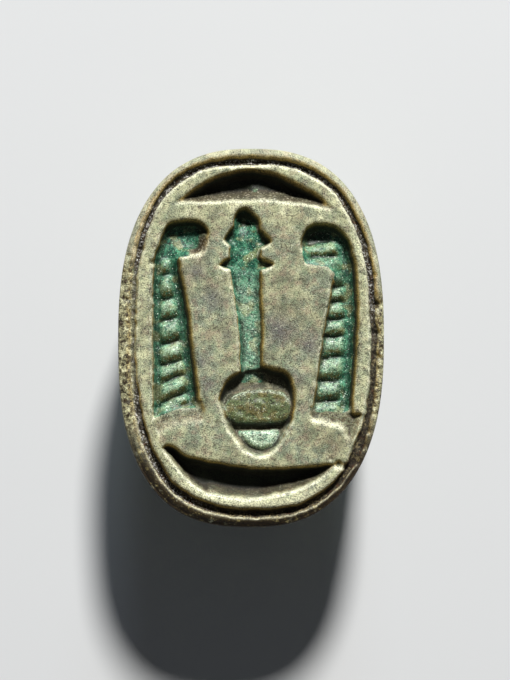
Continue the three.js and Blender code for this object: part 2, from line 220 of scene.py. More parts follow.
def smooth_line(points, steps=6):
    """A smooth curve through the points, in millimetres; two points stay a straight line."""
    knots = np.array(points) * (HALF_WIDTH, HALF_LENGTH)
    if len(knots) == 2:
        return knots
    padded = np.vstack([knots[:1], knots, knots[-1:]])
    line = [knots[:1]]
    for before, start, end, after in zip(padded, padded[1:], padded[2:], padded[3:]):
        t = np.linspace(0, 1, steps + 1)[1:, None]
        tangent_in, tangent_out = (end - before) / 2, (after - start) / 2
        line.append((2 * t**3 - 3 * t**2 + 1) * start + (t**3 - 2 * t**2 + t) * tangent_in
                    + (3 * t**2 - 2 * t**3) * end + (t**3 - t**2) * tangent_out)
    return np.vstack(line)


print(len(SIGNS), "outlines; the stem has", len(STEM), "strokes")

# %% [markdown]
# The relief is first worked out on a flat sheet of squares, a fortieth of a millimetre each, as a map of
# depths. A map can be blurred, and a blur is just what wear does: it rounds lips and fills corners. Two
# questions are asked of each sign at every square: is it inside, and how far is it from each stroke? The
# wall's share of the way down follows, and the lowest share of all the strokes counts, which gives the
# mitred corners that a graver leaves.

# %% The sheet, and distances to strokes
SQUARE, MARGIN, FAR = 0.025, 0.1, 9.0
WALL_STRAIGHTNESS = 0.45
sheet_x, sheet_y = np.meshgrid(np.arange(-HALF_WIDTH - MARGIN, HALF_WIDTH + MARGIN, SQUARE),
                               np.arange(-HALF_LENGTH - MARGIN, HALF_LENGTH + MARGIN, SQUARE), indexing="ij")
u_share, v_share = sheet_x / HALF_WIDTH, sheet_y / HALF_LENGTH


def lumpy(size, seed, stretch=1.0):
    """Lumps on the sheet; a stretch under 1 draws them out along the stone."""
    return lumps(sheet_x, sheet_y * stretch, size, seed)


def line_distance(x, y, line):
    nearest = np.full(x.shape, FAR)
    for (start_x, start_y), (end_x, end_y) in zip(line, line[1:]):
        run_x, run_y = end_x - start_x, end_y - start_y
        t = np.clip(((x - start_x) * run_x + (y - start_y) * run_y) / (run_x**2 + run_y**2), 0, 1)
        nearest = np.minimum(nearest, np.hypot(x - start_x - t * run_x, y - start_y - t * run_y))
    return nearest


def is_inside(x, y, loop):
    inside = np.zeros(x.shape, bool)
    for (start_x, start_y), (end_x, end_y) in zip(loop, np.roll(loop, -1, axis=0)):
        if start_y != end_y:
            crosses_at = (end_x - start_x) * (y - start_y) / (end_y - start_y) + start_x
            inside ^= ((start_y > y) != (end_y > y)) & (x < crosses_at)
    return inside


def cut(x, y, strokes, margin=0.4):
    """For a sign: the wall's share of the way down, and the distance to the outline, positive inside."""
    ends = [points[-1] for _, points in strokes]
    lines = [smooth_line([start, *points]) for start, (_, points) in zip([ends[-1], *ends], strokes)]
    loop = np.vstack([line[:-1] for line in lines])
    near = ((x > loop[:, 0].min() - margin) & (x < loop[:, 0].max() + margin)
            & (y > loop[:, 1].min() - margin) & (y < loop[:, 1].max() + margin))
    way_down, to_edge = np.zeros(x.shape), np.full(x.shape, -margin)
    near_x, near_y = x[near], y[near]
    inside = is_inside(near_x, near_y, loop)
    share, nearest = np.ones(near_x.shape), np.full(near_x.shape, FAR)
    for (run, _), line in zip(strokes, lines):
        gap = line_distance(near_x, near_y, line)
        nearest = np.minimum(nearest, gap)
        straight, rounded = np.clip(gap / run, 0, 1), soft_step(gap, 0, run)
        share = np.minimum(share, WALL_STRAIGHTNESS * straight + (1 - WALL_STRAIGHTNESS) * rounded)
    way_down[near] = np.where(inside, share, 0)
    to_edge[near] = np.where(inside, nearest, -nearest)
    return way_down, to_edge


def wander(seed):
    """How far the graver's hand strayed, in long waves and in short ones."""
    return 0.026 * lumpy(0.45, seed) + 0.019 * lumpy(0.16, seed + 1)


down, edge = {}, {}
hand_x, hand_y = sheet_x + wander(3), sheet_y + wander(5)
for sign, strokes in SIGNS.items():
    down[sign], edge[sign] = cut(hand_x, hand_y, strokes)
into_signs = np.maximum.reduce([edge[sign] for sign in SUNK_SIGNS])
print("sheet of", sheet_x.shape, "squares,", round(float(np.mean(into_signs > 0)) * 100), "% in a sign")

# %% [markdown]
# The rungs in the two columns are pillows left standing between notches that were cut one by one, so they
# are unevenly spaced and lean. Each is highest below its middle, and it fades before it reaches the
# column's right wall, where a plain trough runs down. Between two notches a place's phase runs from 0 to 1,
# and the pillow follows it.

# %% The rungs
LEFT_NOTCHES = [-0.48, -0.378, -0.308, -0.208, -0.127, -0.022, 0.1, 0.21, 0.336, 0.425]
RIGHT_NOTCHES = [-0.52, -0.427, -0.332, -0.222, -0.103, 0.01, 0.105, 0.189, 0.268, 0.352, 0.435, 0.505]
RUNG_HEIGHT, NOTCH_SHARPNESS, CREST_SHIFT, RIGHT_LEAN = 0.3, 2.6, 0.8, 0.11
# Places along and across, in shares, on the left and the right wall of each column
LEFT_COLUMN_SIDES = ([(-0.443, -0.735), (0.14, -0.735), (0.4, -0.725)],
                     [(-0.4, -0.37), (-0.15, -0.41), (0.14, -0.46), (0.36, -0.52), (0.41, -0.52)])
RIGHT_COLUMN_SIDES = (
    [(-0.425, 0.44), (-0.2, 0.49), (0, 0.53), (0.17, 0.575), (0.33, 0.605), (0.4, 0.4)],
    [(-0.41, 0.77), (-0.05, 0.81), (0.15, 0.817), (0.35, 0.803), (0.455, 0.77), (0.53, 0.72)])


def wall_place(side):
    heights, places = zip(*side)
    return HALF_WIDTH * np.interp(v_share, heights, places)


def rungs(notches, lean, sides, left_gap, right_gap, seed):
    """The rungs' share of their full height, the phase from notch to notch, and where they stand."""
    left, right = (wall_place(side) for side in sides)
    strayed = 0.05 * lumpy(0.4, seed) + 0.025 * lumpy(0.15, seed + 1)
    along = (sheet_y - lean * (sheet_x - (left + right) / 2) + strayed) / HALF_LENGTH
    number = np.interp(along, notches, np.arange(len(notches)))
    phase = number - np.floor(number)
    strength = 0.85 + 0.25 * lumps(np.floor(number) * 1.37, sheet_x * 0.5, 1.0, seed + 2)
    pillow = 1 - np.abs(2 * phase**CREST_SHIFT - 1) ** NOTCH_SHARPNESS
    between = soft_step(sheet_x - left, *left_gap) * (1 - soft_step(sheet_x - right, *right_gap))
    return pillow * strength * between, phase, between


# The left rungs lean more towards the lower end, and stop below the head
left_lean = 0.2 + 0.2 * soft_step(-sheet_y, 0, 2.6) + 0.22 * soft_step(-sheet_y, 2.6, 3.4)
left_rungs, left_phase, left_between = rungs(
    LEFT_NOTCHES, left_lean, LEFT_COLUMN_SIDES, (0.2, 0.42), (-0.72, -0.42), 30)
right_rungs, right_phase, right_between = rungs(
    RIGHT_NOTCHES, RIGHT_LEAN, RIGHT_COLUMN_SIDES, (-0.05, 0.2), (-0.84, -0.5), 34)
below_head = 1 - soft_step(v_share, 0.4, 0.44)
left_rungs, left_between = left_rungs * below_head, left_between * below_head
print(len(LEFT_NOTCHES) - 1, "rungs on the left and", len(RIGHT_NOTCHES) - 1, "on the right")

# %% [markdown]
# Each sign gets its depth. The baskets' sloping sides keep the marks of the graver. The stem is a trough
# with deeper nicks at its barbs. In the heart two cushions stay standing inside a ring-shaped cut.

# %% Depths of the signs
BASKET_DEPTH, COLUMN_DEPTH, STEM_DEPTH, HEART_DEPTH, RAMP_DEPTH = 0.86, 0.6, 0.46, 0.72, 0.3
UPPER_CUSHION_HEIGHT, LOWER_CUSHION_HEIGHT, RIDGE_HEIGHT, HEAD_EXTRA_DEPTH = 0.4, 0.35, 0.22, 0.16
# Place across and along in shares, radius and depth in millimetres
BARBS = [(-0.17, 0.53, 0.24, 0.24), (-0.215, 0.382, 0.2, 0.26), (0.12, 0.5, 0.2, 0.24),
         (0.14, 0.388, 0.18, 0.26), (-0.045, 0.62, 0.36, 0.3)]


def spot(across, along, radius):
    """1 at a place given in shares of the half width and length, fading out over about this radius."""
    return np.exp(-((sheet_x - across * HALF_WIDTH) ** 2 + (sheet_y - along * HALF_LENGTH) ** 2) / radius**2)


def spots(places):
    return [strength * spot(across, along, radius) for across, along, radius, strength in places]


def mid_slope(share):
    """1 half way down a slope, 0 at its top and its foot."""
    return 4 * share * (1 - share)


def column(side, rung_share, rung_edge):
    """A column's depth, with its rungs standing up from the floor."""
    standing = RUNG_HEIGHT * rung_share * soft_step(edge[side], 0.0, rung_edge)
    return (column_depth - standing) * down[side]


scores = lumpy(0.2, 8, 0.15) * 0.6 + lumpy(0.09, 9, 0.2) * 0.4
basket_depth = BASKET_DEPTH * (1 + 0.07 * lumpy(0.6, 7))
upper_down, lower_down = down["upper basket"], down["lower basket"]
ridge = spot(0.05, 0.775, 0.55) + 0.4 * spot(0.2, 0.76, 0.45)
upper = (basket_depth - RIDGE_HEIGHT * ridge + 0.035 * lumpy(0.13, 38)) * upper_down
upper = upper - 0.05 * mid_slope(upper_down) * (1 + 2 * scores)
lower = basket_depth * lower_down + 0.03 * mid_slope(lower_down) * scores

heads = spot(-0.52, 0.56, 0.75) + spot(0.5, 0.54, 0.65)
column_depth = COLUMN_DEPTH + 0.03 * lumpy(0.4, 11) + HEAD_EXTRA_DEPTH * heads
left, right = column("left column", left_rungs, 0.2), column("right column", right_rungs, 0.15)
ramps = np.maximum(down["left ramp"] * (0.7 + 0.12 * lumpy(0.2, 12)),
                   down["right ramp"] * (1 + 0.2 * lumpy(0.2, 13)))

trough = 0.78 + 0.22 * soft_step(edge["stem"], 0.08, 0.42)
stem = (STEM_DEPTH * trough + sum(spots(BARBS)) + 0.03 * lumpy(0.3, 14)) * down["stem"]
cushion_lumps = 1 + 0.1 * lumpy(0.5, 15) + 0.05 * lumpy(0.18, 28)
cushions = np.maximum(UPPER_CUSHION_HEIGHT * down["upper cushion"] * cushion_lumps,
                      LOWER_CUSHION_HEIGHT * down["lower cushion"])
heart = HEART_DEPTH * (1 + 0.05 * lumpy(0.2, 29)) * down["heart"]
heart = heart - cushions * soft_step(edge["heart"], 0.04, 0.24)
signs_depth = np.maximum.reduce([upper, lower, left, right, RAMP_DEPTH * ramps, stem, heart])
print("deepest:", {name: round(float(value.max()), 2) for name, value in (
    ("basket", upper), ("column", left), ("stem", stem), ("heart", heart))}, "mm")

# %% [markdown]
# Round them runs the border line, and outside it the rim, which has crumbled on both sides. Its line is
# packed with earth, so its floor is rough. Knocks and flaws are placed one by one where the stone has them.

# %% Border line, rim and flaws
BORDER_DEPTH, LINE_HALF_WIDTH = 0.36, 0.15
# Place across and along in shares, radius and depth in millimetres
FLAWS = [(-0.74, 0.395, 0.11, 0.2), (-0.835, 0.468, 0.15, 0.2), (0.655, -0.672, 0.14, 0.3),
         (0.71, -0.685, 0.12, 0.26), (0.6, -0.64, 0.08, 0.14), (0.945, 0.17, 0.17, 0.25),
         (0.93, 0.02, 0.15, 0.18), (-0.92, 0.43, 0.1, 0.14), (0.81, -0.413, 0.08, 0.2),
         (0.74, -0.41, 0.08, 0.16), (0.93, 0.33, 0.08, 0.1), (0.955, -0.1, 0.1, 0.14),
         (-0.945, 0.2, 0.12, 0.1), (-0.95, -0.02, 0.1, 0.1), (0.88, -0.5, 0.1, 0.12),
         (0.79, -0.66, 0.14, 0.12)]

to_rim = distance_to_rim(sheet_x, sheet_y)
to_line = distance_inside(sheet_x - BORDER_OFF_CENTRE, sheet_y, HALF_WIDTH - BORDER_INSET_SIDES,
                          HALF_LENGTH - BORDER_INSET_ENDS, BORDER_SQUARENESS)
to_line = to_line + 0.035 * lumpy(0.9, 16) + 0.025 * lumpy(0.25, 17)
line_half = LINE_HALF_WIDTH + 0.03 * lumpy(0.7, 18) + 0.09 * spot(0.8, -0.6, 0.8)
line_half = line_half + 0.03 * soft_step(-sheet_y, 2, 6)
in_line = 1 - soft_step(np.abs(to_line), line_half * 0.5, line_half * 1.15)
worn_left = soft_step(-u_share, 0.82, 0.9) * soft_step(v_share, -0.6, -0.4)
worn_left = worn_left * soft_step(-v_share, -0.46, -0.34)
worn_right = soft_step(u_share, 0.86, 0.93) * soft_step(v_share, -0.55, -0.35)
worn_right = worn_right * soft_step(-v_share, -0.3, -0.15)
worn = np.maximum(worn_left, worn_right)
crumbly = lumpy(0.15, 19) * 0.6 + lumpy(0.07, 20) * 0.4
crumbled = worn_left * (0.12 + 0.07 * crumbly) + worn_right * (0.08 + 0.09 * crumbly)
line_depth = BORDER_DEPTH - 0.12 * worn_left + 0.06 * crumbly + 0.05 * soft_step(-sheet_y, 3, 7)
on_rim, low_end = soft_step(-to_line, 0.02, 0.18), soft_step(-sheet_y, 2.5, 6)
rim_depth = 0.02 + 0.1 * low_end + crumbled + 0.015 * lumpy(0.3, 21)
print("flaws:", len(FLAWS), "- border line", round(2 * float(line_half.mean()), 2), "mm wide")

# %% [markdown]
# Then the whole map is worn: most of the depth is blurred a little and the rest more, so lips are round and
# corners are soft. The fine crumbs come after it, or it would wipe them out. What the blur moved also tells
# crests from hollows, which the finish needs for rubbed lips, and for dirt and painted shade in hollows. So
# does the side that a slope faces, towards the lamp beyond the head end or away from it: the finish paints
# highlights on the one and shade on the other. Walls that face away from the head end were rubbed into a low
# shoulder before they drop.

# %% Wear the relief
LIP_WEAR, CORNER_WEAR, CORNER_WEAR_SHARE = 0.035, 0.1, 0.32
SHOULDER_DEPTH = 0.05


def softened(field, size):
    """Blurred over this many millimetres, first across and then along."""
    reach = int(math.ceil(2.5 * size / SQUARE))
    weights = np.exp(-0.5 * (np.arange(-reach, reach + 1) * SQUARE / size) ** 2)
    kept = tuple(slice(0, count) for count in field.shape)
    for axis in (0, 1):
        padding = [(reach, reach) if axis == side else (0, 0) for side in (0, 1)]
        padded = np.pad(field, padding, mode="edge")
        moved = [np.roll(padded, -step, axis)[kept] for step in range(2 * reach + 1)]
        field = sum(weight * part for weight, part in zip(weights / weights.sum(), moved))
    return field


def drop_towards(field, across, along):
    """How steeply the face drops in this direction, where 1 is 45 degrees."""
    return np.gradient(field, SQUARE, axis=0) * across + np.gradient(field, SQUARE, axis=1) * along


cut_depth = np.maximum(np.maximum(signs_depth, line_depth * in_line), on_rim * rim_depth) + sum(spots(FLAWS))
depth = ((1 - CORNER_WEAR_SHARE) * softened(cut_depth, LIP_WEAR)
         + CORNER_WEAR_SHARE * softened(cut_depth, CORNER_WEAR))
wide = softened(cut_depth, 0.11)
into_cuts = np.maximum(into_signs, line_half * 0.9 - np.abs(to_line))
shoulder = soft_step(drop_towards(wide, -0.5, -0.85), 0.1, 0.7) * soft_step(into_cuts, -0.2, 0.02)
shoulder = shoulder * (1 - soft_step(depth, 0.12, 0.5))
on_ground = (1 - soft_step(into_signs, -0.05, 0.05)) * (1 - in_line)
depth = depth + SHOULDER_DEPTH * shoulder + 0.012 * lumpy(1.1, 22) + 0.008 * lumpy(0.3, 23) * on_ground
depth = depth + 0.014 * in_line * crumbly + 0.008 * lumpy(0.075, 25) * (0.4 + worn)
crest = np.clip((softened(depth, 0.08) - depth) / 0.04, 0, 1)
# Concave places, for dirt and painted shade in the finish
hollow = np.clip((depth - softened(depth, 0.16)) / 0.07, 0, 1)
# How steeply the face drops towards the key lamp beyond the head end: the finish paints highlights on slopes
# facing it and shade on slopes facing away
towards_lamp = drop_towards(depth, 0.17, 0.98)
depth = np.maximum(depth, 0)
print("depth from", depth.min().round(3), "to", depth.max().round(3), "mm")

# %% [markdown]
# The mesh could be a block remeshed and sculpted, but a height field on a fine grid is exact and quick. A
# square grid is bent into the oval: its rows stay straight in the middle, where the signs are, and follow
# the outline near the edge, where the border line is. The plate's edge is rounded over, unevenly, as a
# finger would feel it.

# %% A grid bent into the oval
COLUMNS, ROWS = 201, 281
EDGE_ROUND = 0.34


def read_sheet(field, x, y):
    """The map's value at any place, from the four squares round it."""
    column = np.clip((x + HALF_WIDTH + MARGIN) / SQUARE, 0, field.shape[0] - 1.001)
    row = np.clip((y + HALF_LENGTH + MARGIN) / SQUARE, 0, field.shape[1] - 1.001)
    whole, whole_row = column.astype(int), row.astype(int)
    return between_corners(lambda i, j: field[whole + i, whole_row + j], column - whole, row - whole_row)


def face_grid():
    across, along = np.meshgrid(np.linspace(-1, 1, COLUMNS), np.linspace(-1, 1, ROWS), indexing="ij")
    disc_x, disc_y = across * np.sqrt(1 - along**2 / 2), along * np.sqrt(1 - across**2 / 2)
    radius = np.hypot(disc_x, disc_y)
    share = np.maximum(out_share(disc_x, disc_y, 1, 1, STONE_SQUARENESS), 1e-9)
    stretch = 1 + (radius / share - 1) * radius**2
    return disc_x * stretch * HALF_WIDTH, disc_y * stretch * HALF_LENGTH


def face_height(x, y):
    uneven = 0.16 * lumps(x, y, 1.2, 24) + 0.05 * lumps(x, y, 0.3, 26)
    rounding = EDGE_ROUND * (1 + 0.3 * soft_step(-y, 3.5, 7) + uneven)
    inset = np.clip(distance_to_rim(x, y), 0, rounding)
    dropped = rounding - np.sqrt(np.maximum(rounding**2 - (rounding - inset) ** 2, 0))
    return TOP - read_sheet(depth, x, y) * soft_step(inset, 0.0, 0.12) - dropped


grid_x, grid_y = face_grid()
grid_z = face_height(grid_x, grid_y)
print(COLUMNS * ROWS, "corners on the face, from", grid_z.min().round(2), "to", grid_z.max().round(2), "mm")

# %% [markdown]
# Below the face comes the rest of the stone, as rings: the plate's edge, a neck, the band of folded legs,
# and the domed back down to a small flat on its crown. The photo hides all this, so it is carved plainer.

# %% The rings of the beetle's body
PLATE_THICKNESS, LEG_BAND_HEIGHT, NECK_DEPTH, NECK_HEIGHT = 1.4, 2.1, 0.3, 0.55
DOME_FOOT = TOP - PLATE_THICKNESS - LEG_BAND_HEIGHT
DOME_SQUARENESS, CROWN_FLAT_SHARE = 2.35, 0.3
HEAD_START, HEAD_DROP = 0.42, 0.5
SIDE_RINGS, DOME_RINGS, CROWN_RINGS = 44, 70, 4
RING_CORNERS = COLUMNS + ROWS - 2

# Inset from the outline and height, down the stone's side
SIDE_PROFILE = [
    (0, TOP - 1.45 * EDGE_ROUND), (0, TOP - 0.8), (0.02, TOP - 1.3), (0.1, TOP - 1.45), (0.28, TOP - 1.6),
    (0.3, TOP - 1.75), (0.15, TOP - 1.92), (0.1, TOP - 2.1), (0.12, TOP - 2.6), (0.2, TOP - 3.1),
    (NECK_DEPTH, DOME_FOOT),
]


def side_profile():
    shares = [(inset / HALF_WIDTH, height / HALF_LENGTH) for inset, height in SIDE_PROFILE]
    line = smooth_line(shares, steps=8)
    travelled = np.append(0, np.cumsum(np.hypot(*np.diff(line, axis=0).T)))
    stops = np.linspace(0, travelled[-1], SIDE_RINGS)
    return np.interp(stops, travelled, line[:, 0]), np.interp(stops, travelled, line[:, 1])


def body_rings(share_x, share_y):
    """All rings under the rim, as arrays with one row per ring; the last ones are the flat crown."""
    inset, height = side_profile()
    x = [share_x * (HALF_WIDTH - gap) for gap in inset]
    y = [share_y * (HALF_LENGTH - gap) for gap in inset]
    z = [np.full(share_x.shape, level) for level in height]
    steepest = math.acos(CROWN_FLAT_SHARE ** (DOME_SQUARENESS / 2))
    for climb in np.linspace(0, 1, DOME_RINGS + 1)[1:]:
        spread = math.cos(climb * steepest) ** (2 / DOME_SQUARENESS)
        fall = (math.sin(climb * steepest) / math.sin(steepest)) ** (2 / DOME_SQUARENESS)
        x.append(share_x * (HALF_WIDTH - NECK_DEPTH) * spread)
        y.append(share_y * (HALF_LENGTH - NECK_DEPTH) * spread)
        head = soft_step(y[-1] / HALF_LENGTH, HEAD_START, 1)
        z.append(DOME_FOOT - DOME_FOOT * fall * (1 - HEAD_DROP * head))
    crown_x, crown_y = x[-1], y[-1]
    for spread in np.linspace(1, 0.15, CROWN_RINGS + 1)[1:]:
        x.append(crown_x * spread)
        y.append(crown_y * spread)
        z.append(np.zeros(share_x.shape))
    return np.array(x), np.array(y), np.array(z)


print("side profile drops", round(TOP - DOME_FOOT, 2), "mm to the dome's foot over", SIDE_RINGS, "rings")

# %% [markdown]
# The beetle's lines are strokes on the plan: wing joint, shield line, neck line, shoulder notches and the
# sides of the face. The gaps between the legs are four-cornered windows seen from the side, and the legs
# get short slanting nicks, the carver's way to show bristles. All are pushed in along the surface's own
# normal, which keeps them as deep on the steep flanks as on the crown.

# %% Lines, legs and wear on the body
LINE_WIDTH, LINE_DEPTH, LEG_GAP_DEPTH, LEG_NICK_DEPTH, LEG_NICK_STEP = 0.3, 0.22, 0.4, 0.05, 0.3
WING_JOINT = [(0, 0.2), (0, -1.02)]
SHIELD_LINE = [(-1.02, 0.34), (-0.55, 0.24), (0, 0.2), (0.55, 0.24), (1.02, 0.34)]
NECK_LINE = [(-1.02, 0.5), (-0.5, 0.6), (0, 0.63), (0.5, 0.6), (1.02, 0.5)]
PAIRED_LINES = [[(0.56, 0.22), (0.5, 0.08)], [(0.34, 0.64), (0.22, 1.02)]]
MIRRORED_LINES = [[(-across, along) for across, along in line] for line in PAIRED_LINES]
BACK_LINES = [WING_JOINT, SHIELD_LINE, NECK_LINE, *PAIRED_LINES, *MIRRORED_LINES]
# Along the stone: top front, top back, low back and low front corner of each gap between legs
LEG_GAPS = [(0.62, 0.4, 0.36, 0.5), (0.24, 0.0, 0.02, 0.18),
            (-0.14, -0.42, -0.32, -0.16), (-0.54, -0.74, -0.68, -0.6)]


def back_line_depth(x, y, z):
    nearest = np.minimum.reduce([line_distance(x, y, smooth_line(line)) for line in BACK_LINES])
    nick = np.clip(1 - nearest / (LINE_WIDTH / 2 * (1 + 0.2 * lumps(x, y, 0.8, 31))), 0, 1)
    return LINE_DEPTH * nick**0.7 * (1 - soft_step(z, DOME_FOOT + 0.1, DOME_FOOT + 0.45))


def leg_gap_depth(x, y, z):
    top, foot = TOP - PLATE_THICKNESS - NECK_HEIGHT + 0.1, DOME_FOOT + LEG_BAND_HEIGHT * 0.12
    share = np.zeros(x.shape)
    for top_front, top_back, low_back, low_front in LEG_GAPS:
        corners = np.array([(low_front * HALF_LENGTH, foot), (top_front * HALF_LENGTH, top),
                            (top_back * HALF_LENGTH, top), (low_back * HALF_LENGTH, foot)])
        gap = line_distance(y, z, np.vstack([corners, corners[:1]]))
        share = np.maximum(share, np.where(is_inside(y, z, corners), soft_step(gap, 0, 0.16), 0))
    return LEG_GAP_DEPTH * share * soft_step(np.abs(x), HALF_WIDTH * 0.4, HALF_WIDTH * 0.5)


def leg_nick_depth(y, z):
    in_band = soft_step(z, DOME_FOOT + 0.3, DOME_FOOT + 0.5) * (1 - soft_step(z, TOP - 2.05, TOP - 1.95))
    wave = np.sin((y * 0.9 + z * 0.5) / LEG_NICK_STEP * math.pi)
    return LEG_NICK_DEPTH * in_band * soft_step(wave, 0.3, 1.0) * (1 - soft_step(np.abs(y), 5.6, 6.4))


def pushed_in(x, y, z):
    """The rings with their lines, gaps, nicks and lumps pushed in along the surface's normal."""
    places = np.stack([x, y, z], axis=-1)
    round_ring = np.roll(places, -1, axis=1) - np.roll(places, 1, axis=1)
    normal = np.cross(np.gradient(places, axis=0), round_ring)
    normal /= np.maximum(np.linalg.norm(normal, axis=-1, keepdims=True), 1e-9)
    gaps = leg_gap_depth(x, y, z)
    pushed = back_line_depth(x, y, z) + gaps + leg_nick_depth(y, z) * (1 - gaps / LEG_GAP_DEPTH)
    side_lumps = lumps(y + x * 0.5, z + 9, 0.5, 32) + 0.5 * lumps(y - x * 0.5, z + 9, 0.2, 33)
    pushed = pushed + 0.018 * (1 + side_lumps)
    fade = soft_step(TOP - z, EDGE_ROUND, EDGE_ROUND + 0.2) * soft_step(z, 0.0, 0.05)
    return places - normal * (pushed * fade)[..., None]


print(len(LEG_GAPS), "gaps on each side, and", len(BACK_LINES), "lines on the back")

# %% [markdown]
# The two halves are sewn along the rim. The face's edge has twice as many corners as a body ring, so one
# row of triangles takes two edges above to one below.

# %% Sew the face to the body
def rim_corners():
    """Numbers of the grid's outer corners, anticlockwise from its lower left corner."""
    bottom = [i * ROWS for i in range(COLUMNS - 1)]
    right = [(COLUMNS - 1) * ROWS + j for j in range(ROWS - 1)]
    top = [i * ROWS + ROWS - 1 for i in range(COLUMNS - 1, 0, -1)]
    left = list(range(ROWS - 1, 0, -1))
    return np.array(bottom + right + top + left)


def stone_mesh():
    rim = rim_corners()
    face = np.stack([grid_x.ravel(), grid_y.ravel(), grid_z.ravel()], axis=-1)
    coarse = face[rim[::2]]
    rings = pushed_in(*body_rings(coarse[:, 0] / HALF_WIDTH, coarse[:, 1] / HALF_LENGTH))[1:]
    corners = np.vstack([face, rings.reshape(-1, 3), [[0, 0, 0]]])
    start = (np.arange(COLUMNS - 1)[:, None] * ROWS + np.arange(ROWS - 1)).ravel()
    faces = np.stack([start, start + ROWS, start + ROWS + 1, start + 1], axis=-1).tolist()
    first, around = len(face), np.arange(RING_CORNERS)
    beyond = (around + 1) % RING_CORNERS
    upper_edge, between, beyond_edge = rim[::2], rim[1::2], np.roll(rim[::2], -1)
    faces += np.stack([upper_edge, first + around, between], axis=-1).tolist()
    faces += np.stack([between, first + around, first + beyond], axis=-1).tolist()
    faces += np.stack([between, first + beyond, beyond_edge], axis=-1).tolist()
    for ring in range(len(rings) - 1):
        above, below = first + ring * RING_CORNERS, first + (ring + 1) * RING_CORNERS
        faces += np.stack([above + around, below + around, below + beyond, above + beyond], axis=-1).tolist()
    crown = first + (len(rings) - 1) * RING_CORNERS
    middle = np.full(RING_CORNERS, len(corners) - 1)
    faces += np.stack([crown + around, middle, crown + beyond], axis=-1).tolist()
    mesh = bpy.data.meshes.new("scarab_stone")
    mesh.from_pydata((corners * MM).tolist(), [], faces)
    return mesh


stone = bpy.data.objects.new("scarab_stone", stone_mesh())
bpy.context.scene.collection.objects.link(stone)
print("sewn mesh:", len(stone.data.vertices), "corners,", len(stone.data.polygons), "faces")

# %% [markdown]
# The string hole runs lengthwise and is drilled with a boolean: the Manifold solver is quick on closed
# meshes. The cutter flares at both ends, because a string wears the mouths wider. Then the body is thinned
# out by collapsing edges where it is smooth, and a vertex group keeps that away from the face.

# %% Drill the string hole and thin the body
HOLE_RADIUS = 0.85
HOLE_HEIGHT = TOP - PLATE_THICKNESS - NECK_HEIGHT - HOLE_RADIUS
HOLE_SIDES = 56
# Distance from the middle along the stone, and radius there
HOLE_PROFILE = [(-9.2, 1.9), (-8.0, 1.02), (-7.6, 0.89), (-6.5, HOLE_RADIUS), (-2, 0.83), (2, 0.86),
                (6.3, HOLE_RADIUS), (7.4, 0.9), (7.9, 1.04), (9.2, 2.0)]
MOST_TRIANGLES = 192000


def hole_cutter():
    turns = np.linspace(0, 2 * math.pi, HOLE_SIDES, endpoint=False)
    corners, faces = [], []
    for along, radius in HOLE_PROFILE:
        corners += [(radius * math.cos(turn) * MM, along * MM, (HOLE_HEIGHT + radius * math.sin(turn)) * MM)
                    for turn in turns]
    for ring in range(len(HOLE_PROFILE) - 1):
        for side in range(HOLE_SIDES):
            a, b = ring * HOLE_SIDES + side, ring * HOLE_SIDES + (side + 1) % HOLE_SIDES
            faces.append((a, a + HOLE_SIDES, b + HOLE_SIDES, b))
    faces.append(tuple(range(HOLE_SIDES)))
    faces.append(tuple(reversed(range(len(corners) - HOLE_SIDES, len(corners)))))
    mesh = bpy.data.meshes.new("string_hole")
    mesh.from_pydata(corners, [], faces)
    cutter = bpy.data.objects.new("string_hole", mesh)
    bpy.context.scene.collection.objects.link(cutter)
    return cutter


def apply_modifiers(thing):
    """Turns the object's mesh into what its modifiers make of it."""
    graph = bpy.context.evaluated_depsgraph_get()
    finished = bpy.data.meshes.new_from_object(thing.evaluated_get(graph), depsgraph=graph)
    thing.modifiers.clear()
    thing.data = finished


def triangle_count(mesh):
    mesh.calc_loop_triangles()
    return len(mesh.loop_triangles)


def corner_places(mesh):
    flat = np.empty(len(mesh.vertices) * 3)
    mesh.vertices.foreach_get("co", flat)
    return flat.reshape(-1, 3) / MM


cutter = hole_cutter()
drill = stone.modifiers.new("string hole", "BOOLEAN")
drill.object, drill.operation, drill.solver = cutter, "DIFFERENCE", "MANIFOLD"
apply_modifiers(stone)
bpy.data.objects.remove(cutter)
drilled = triangle_count(stone.data)

below_face = np.flatnonzero(corner_places(stone.data)[:, 2] < TOP - 1.1)
stone.vertex_groups.new(name="body").add(below_face.tolist(), 1.0, "REPLACE")
thin = stone.modifiers.new("thin the body", "DECIMATE")
thin.ratio, thin.vertex_group, thin.vertex_group_factor = min(1.0, MOST_TRIANGLES / drilled), "body", 10
apply_modifiers(stone)
stone.vertex_groups.clear()
print("drilled:", drilled, "triangles; thinned to", triangle_count(stone.data))

# %% [markdown]
# What the finish needs to know is stored on the mesh as shares from 0 to 1, one for each trace that age or
# the maker left. Noise alone can't know where a cut is; painted images would do, but these values come free
# from the same map that carved the face. First come the patches of grey, brown and pale stone on the bare
# face, each a soft spot.

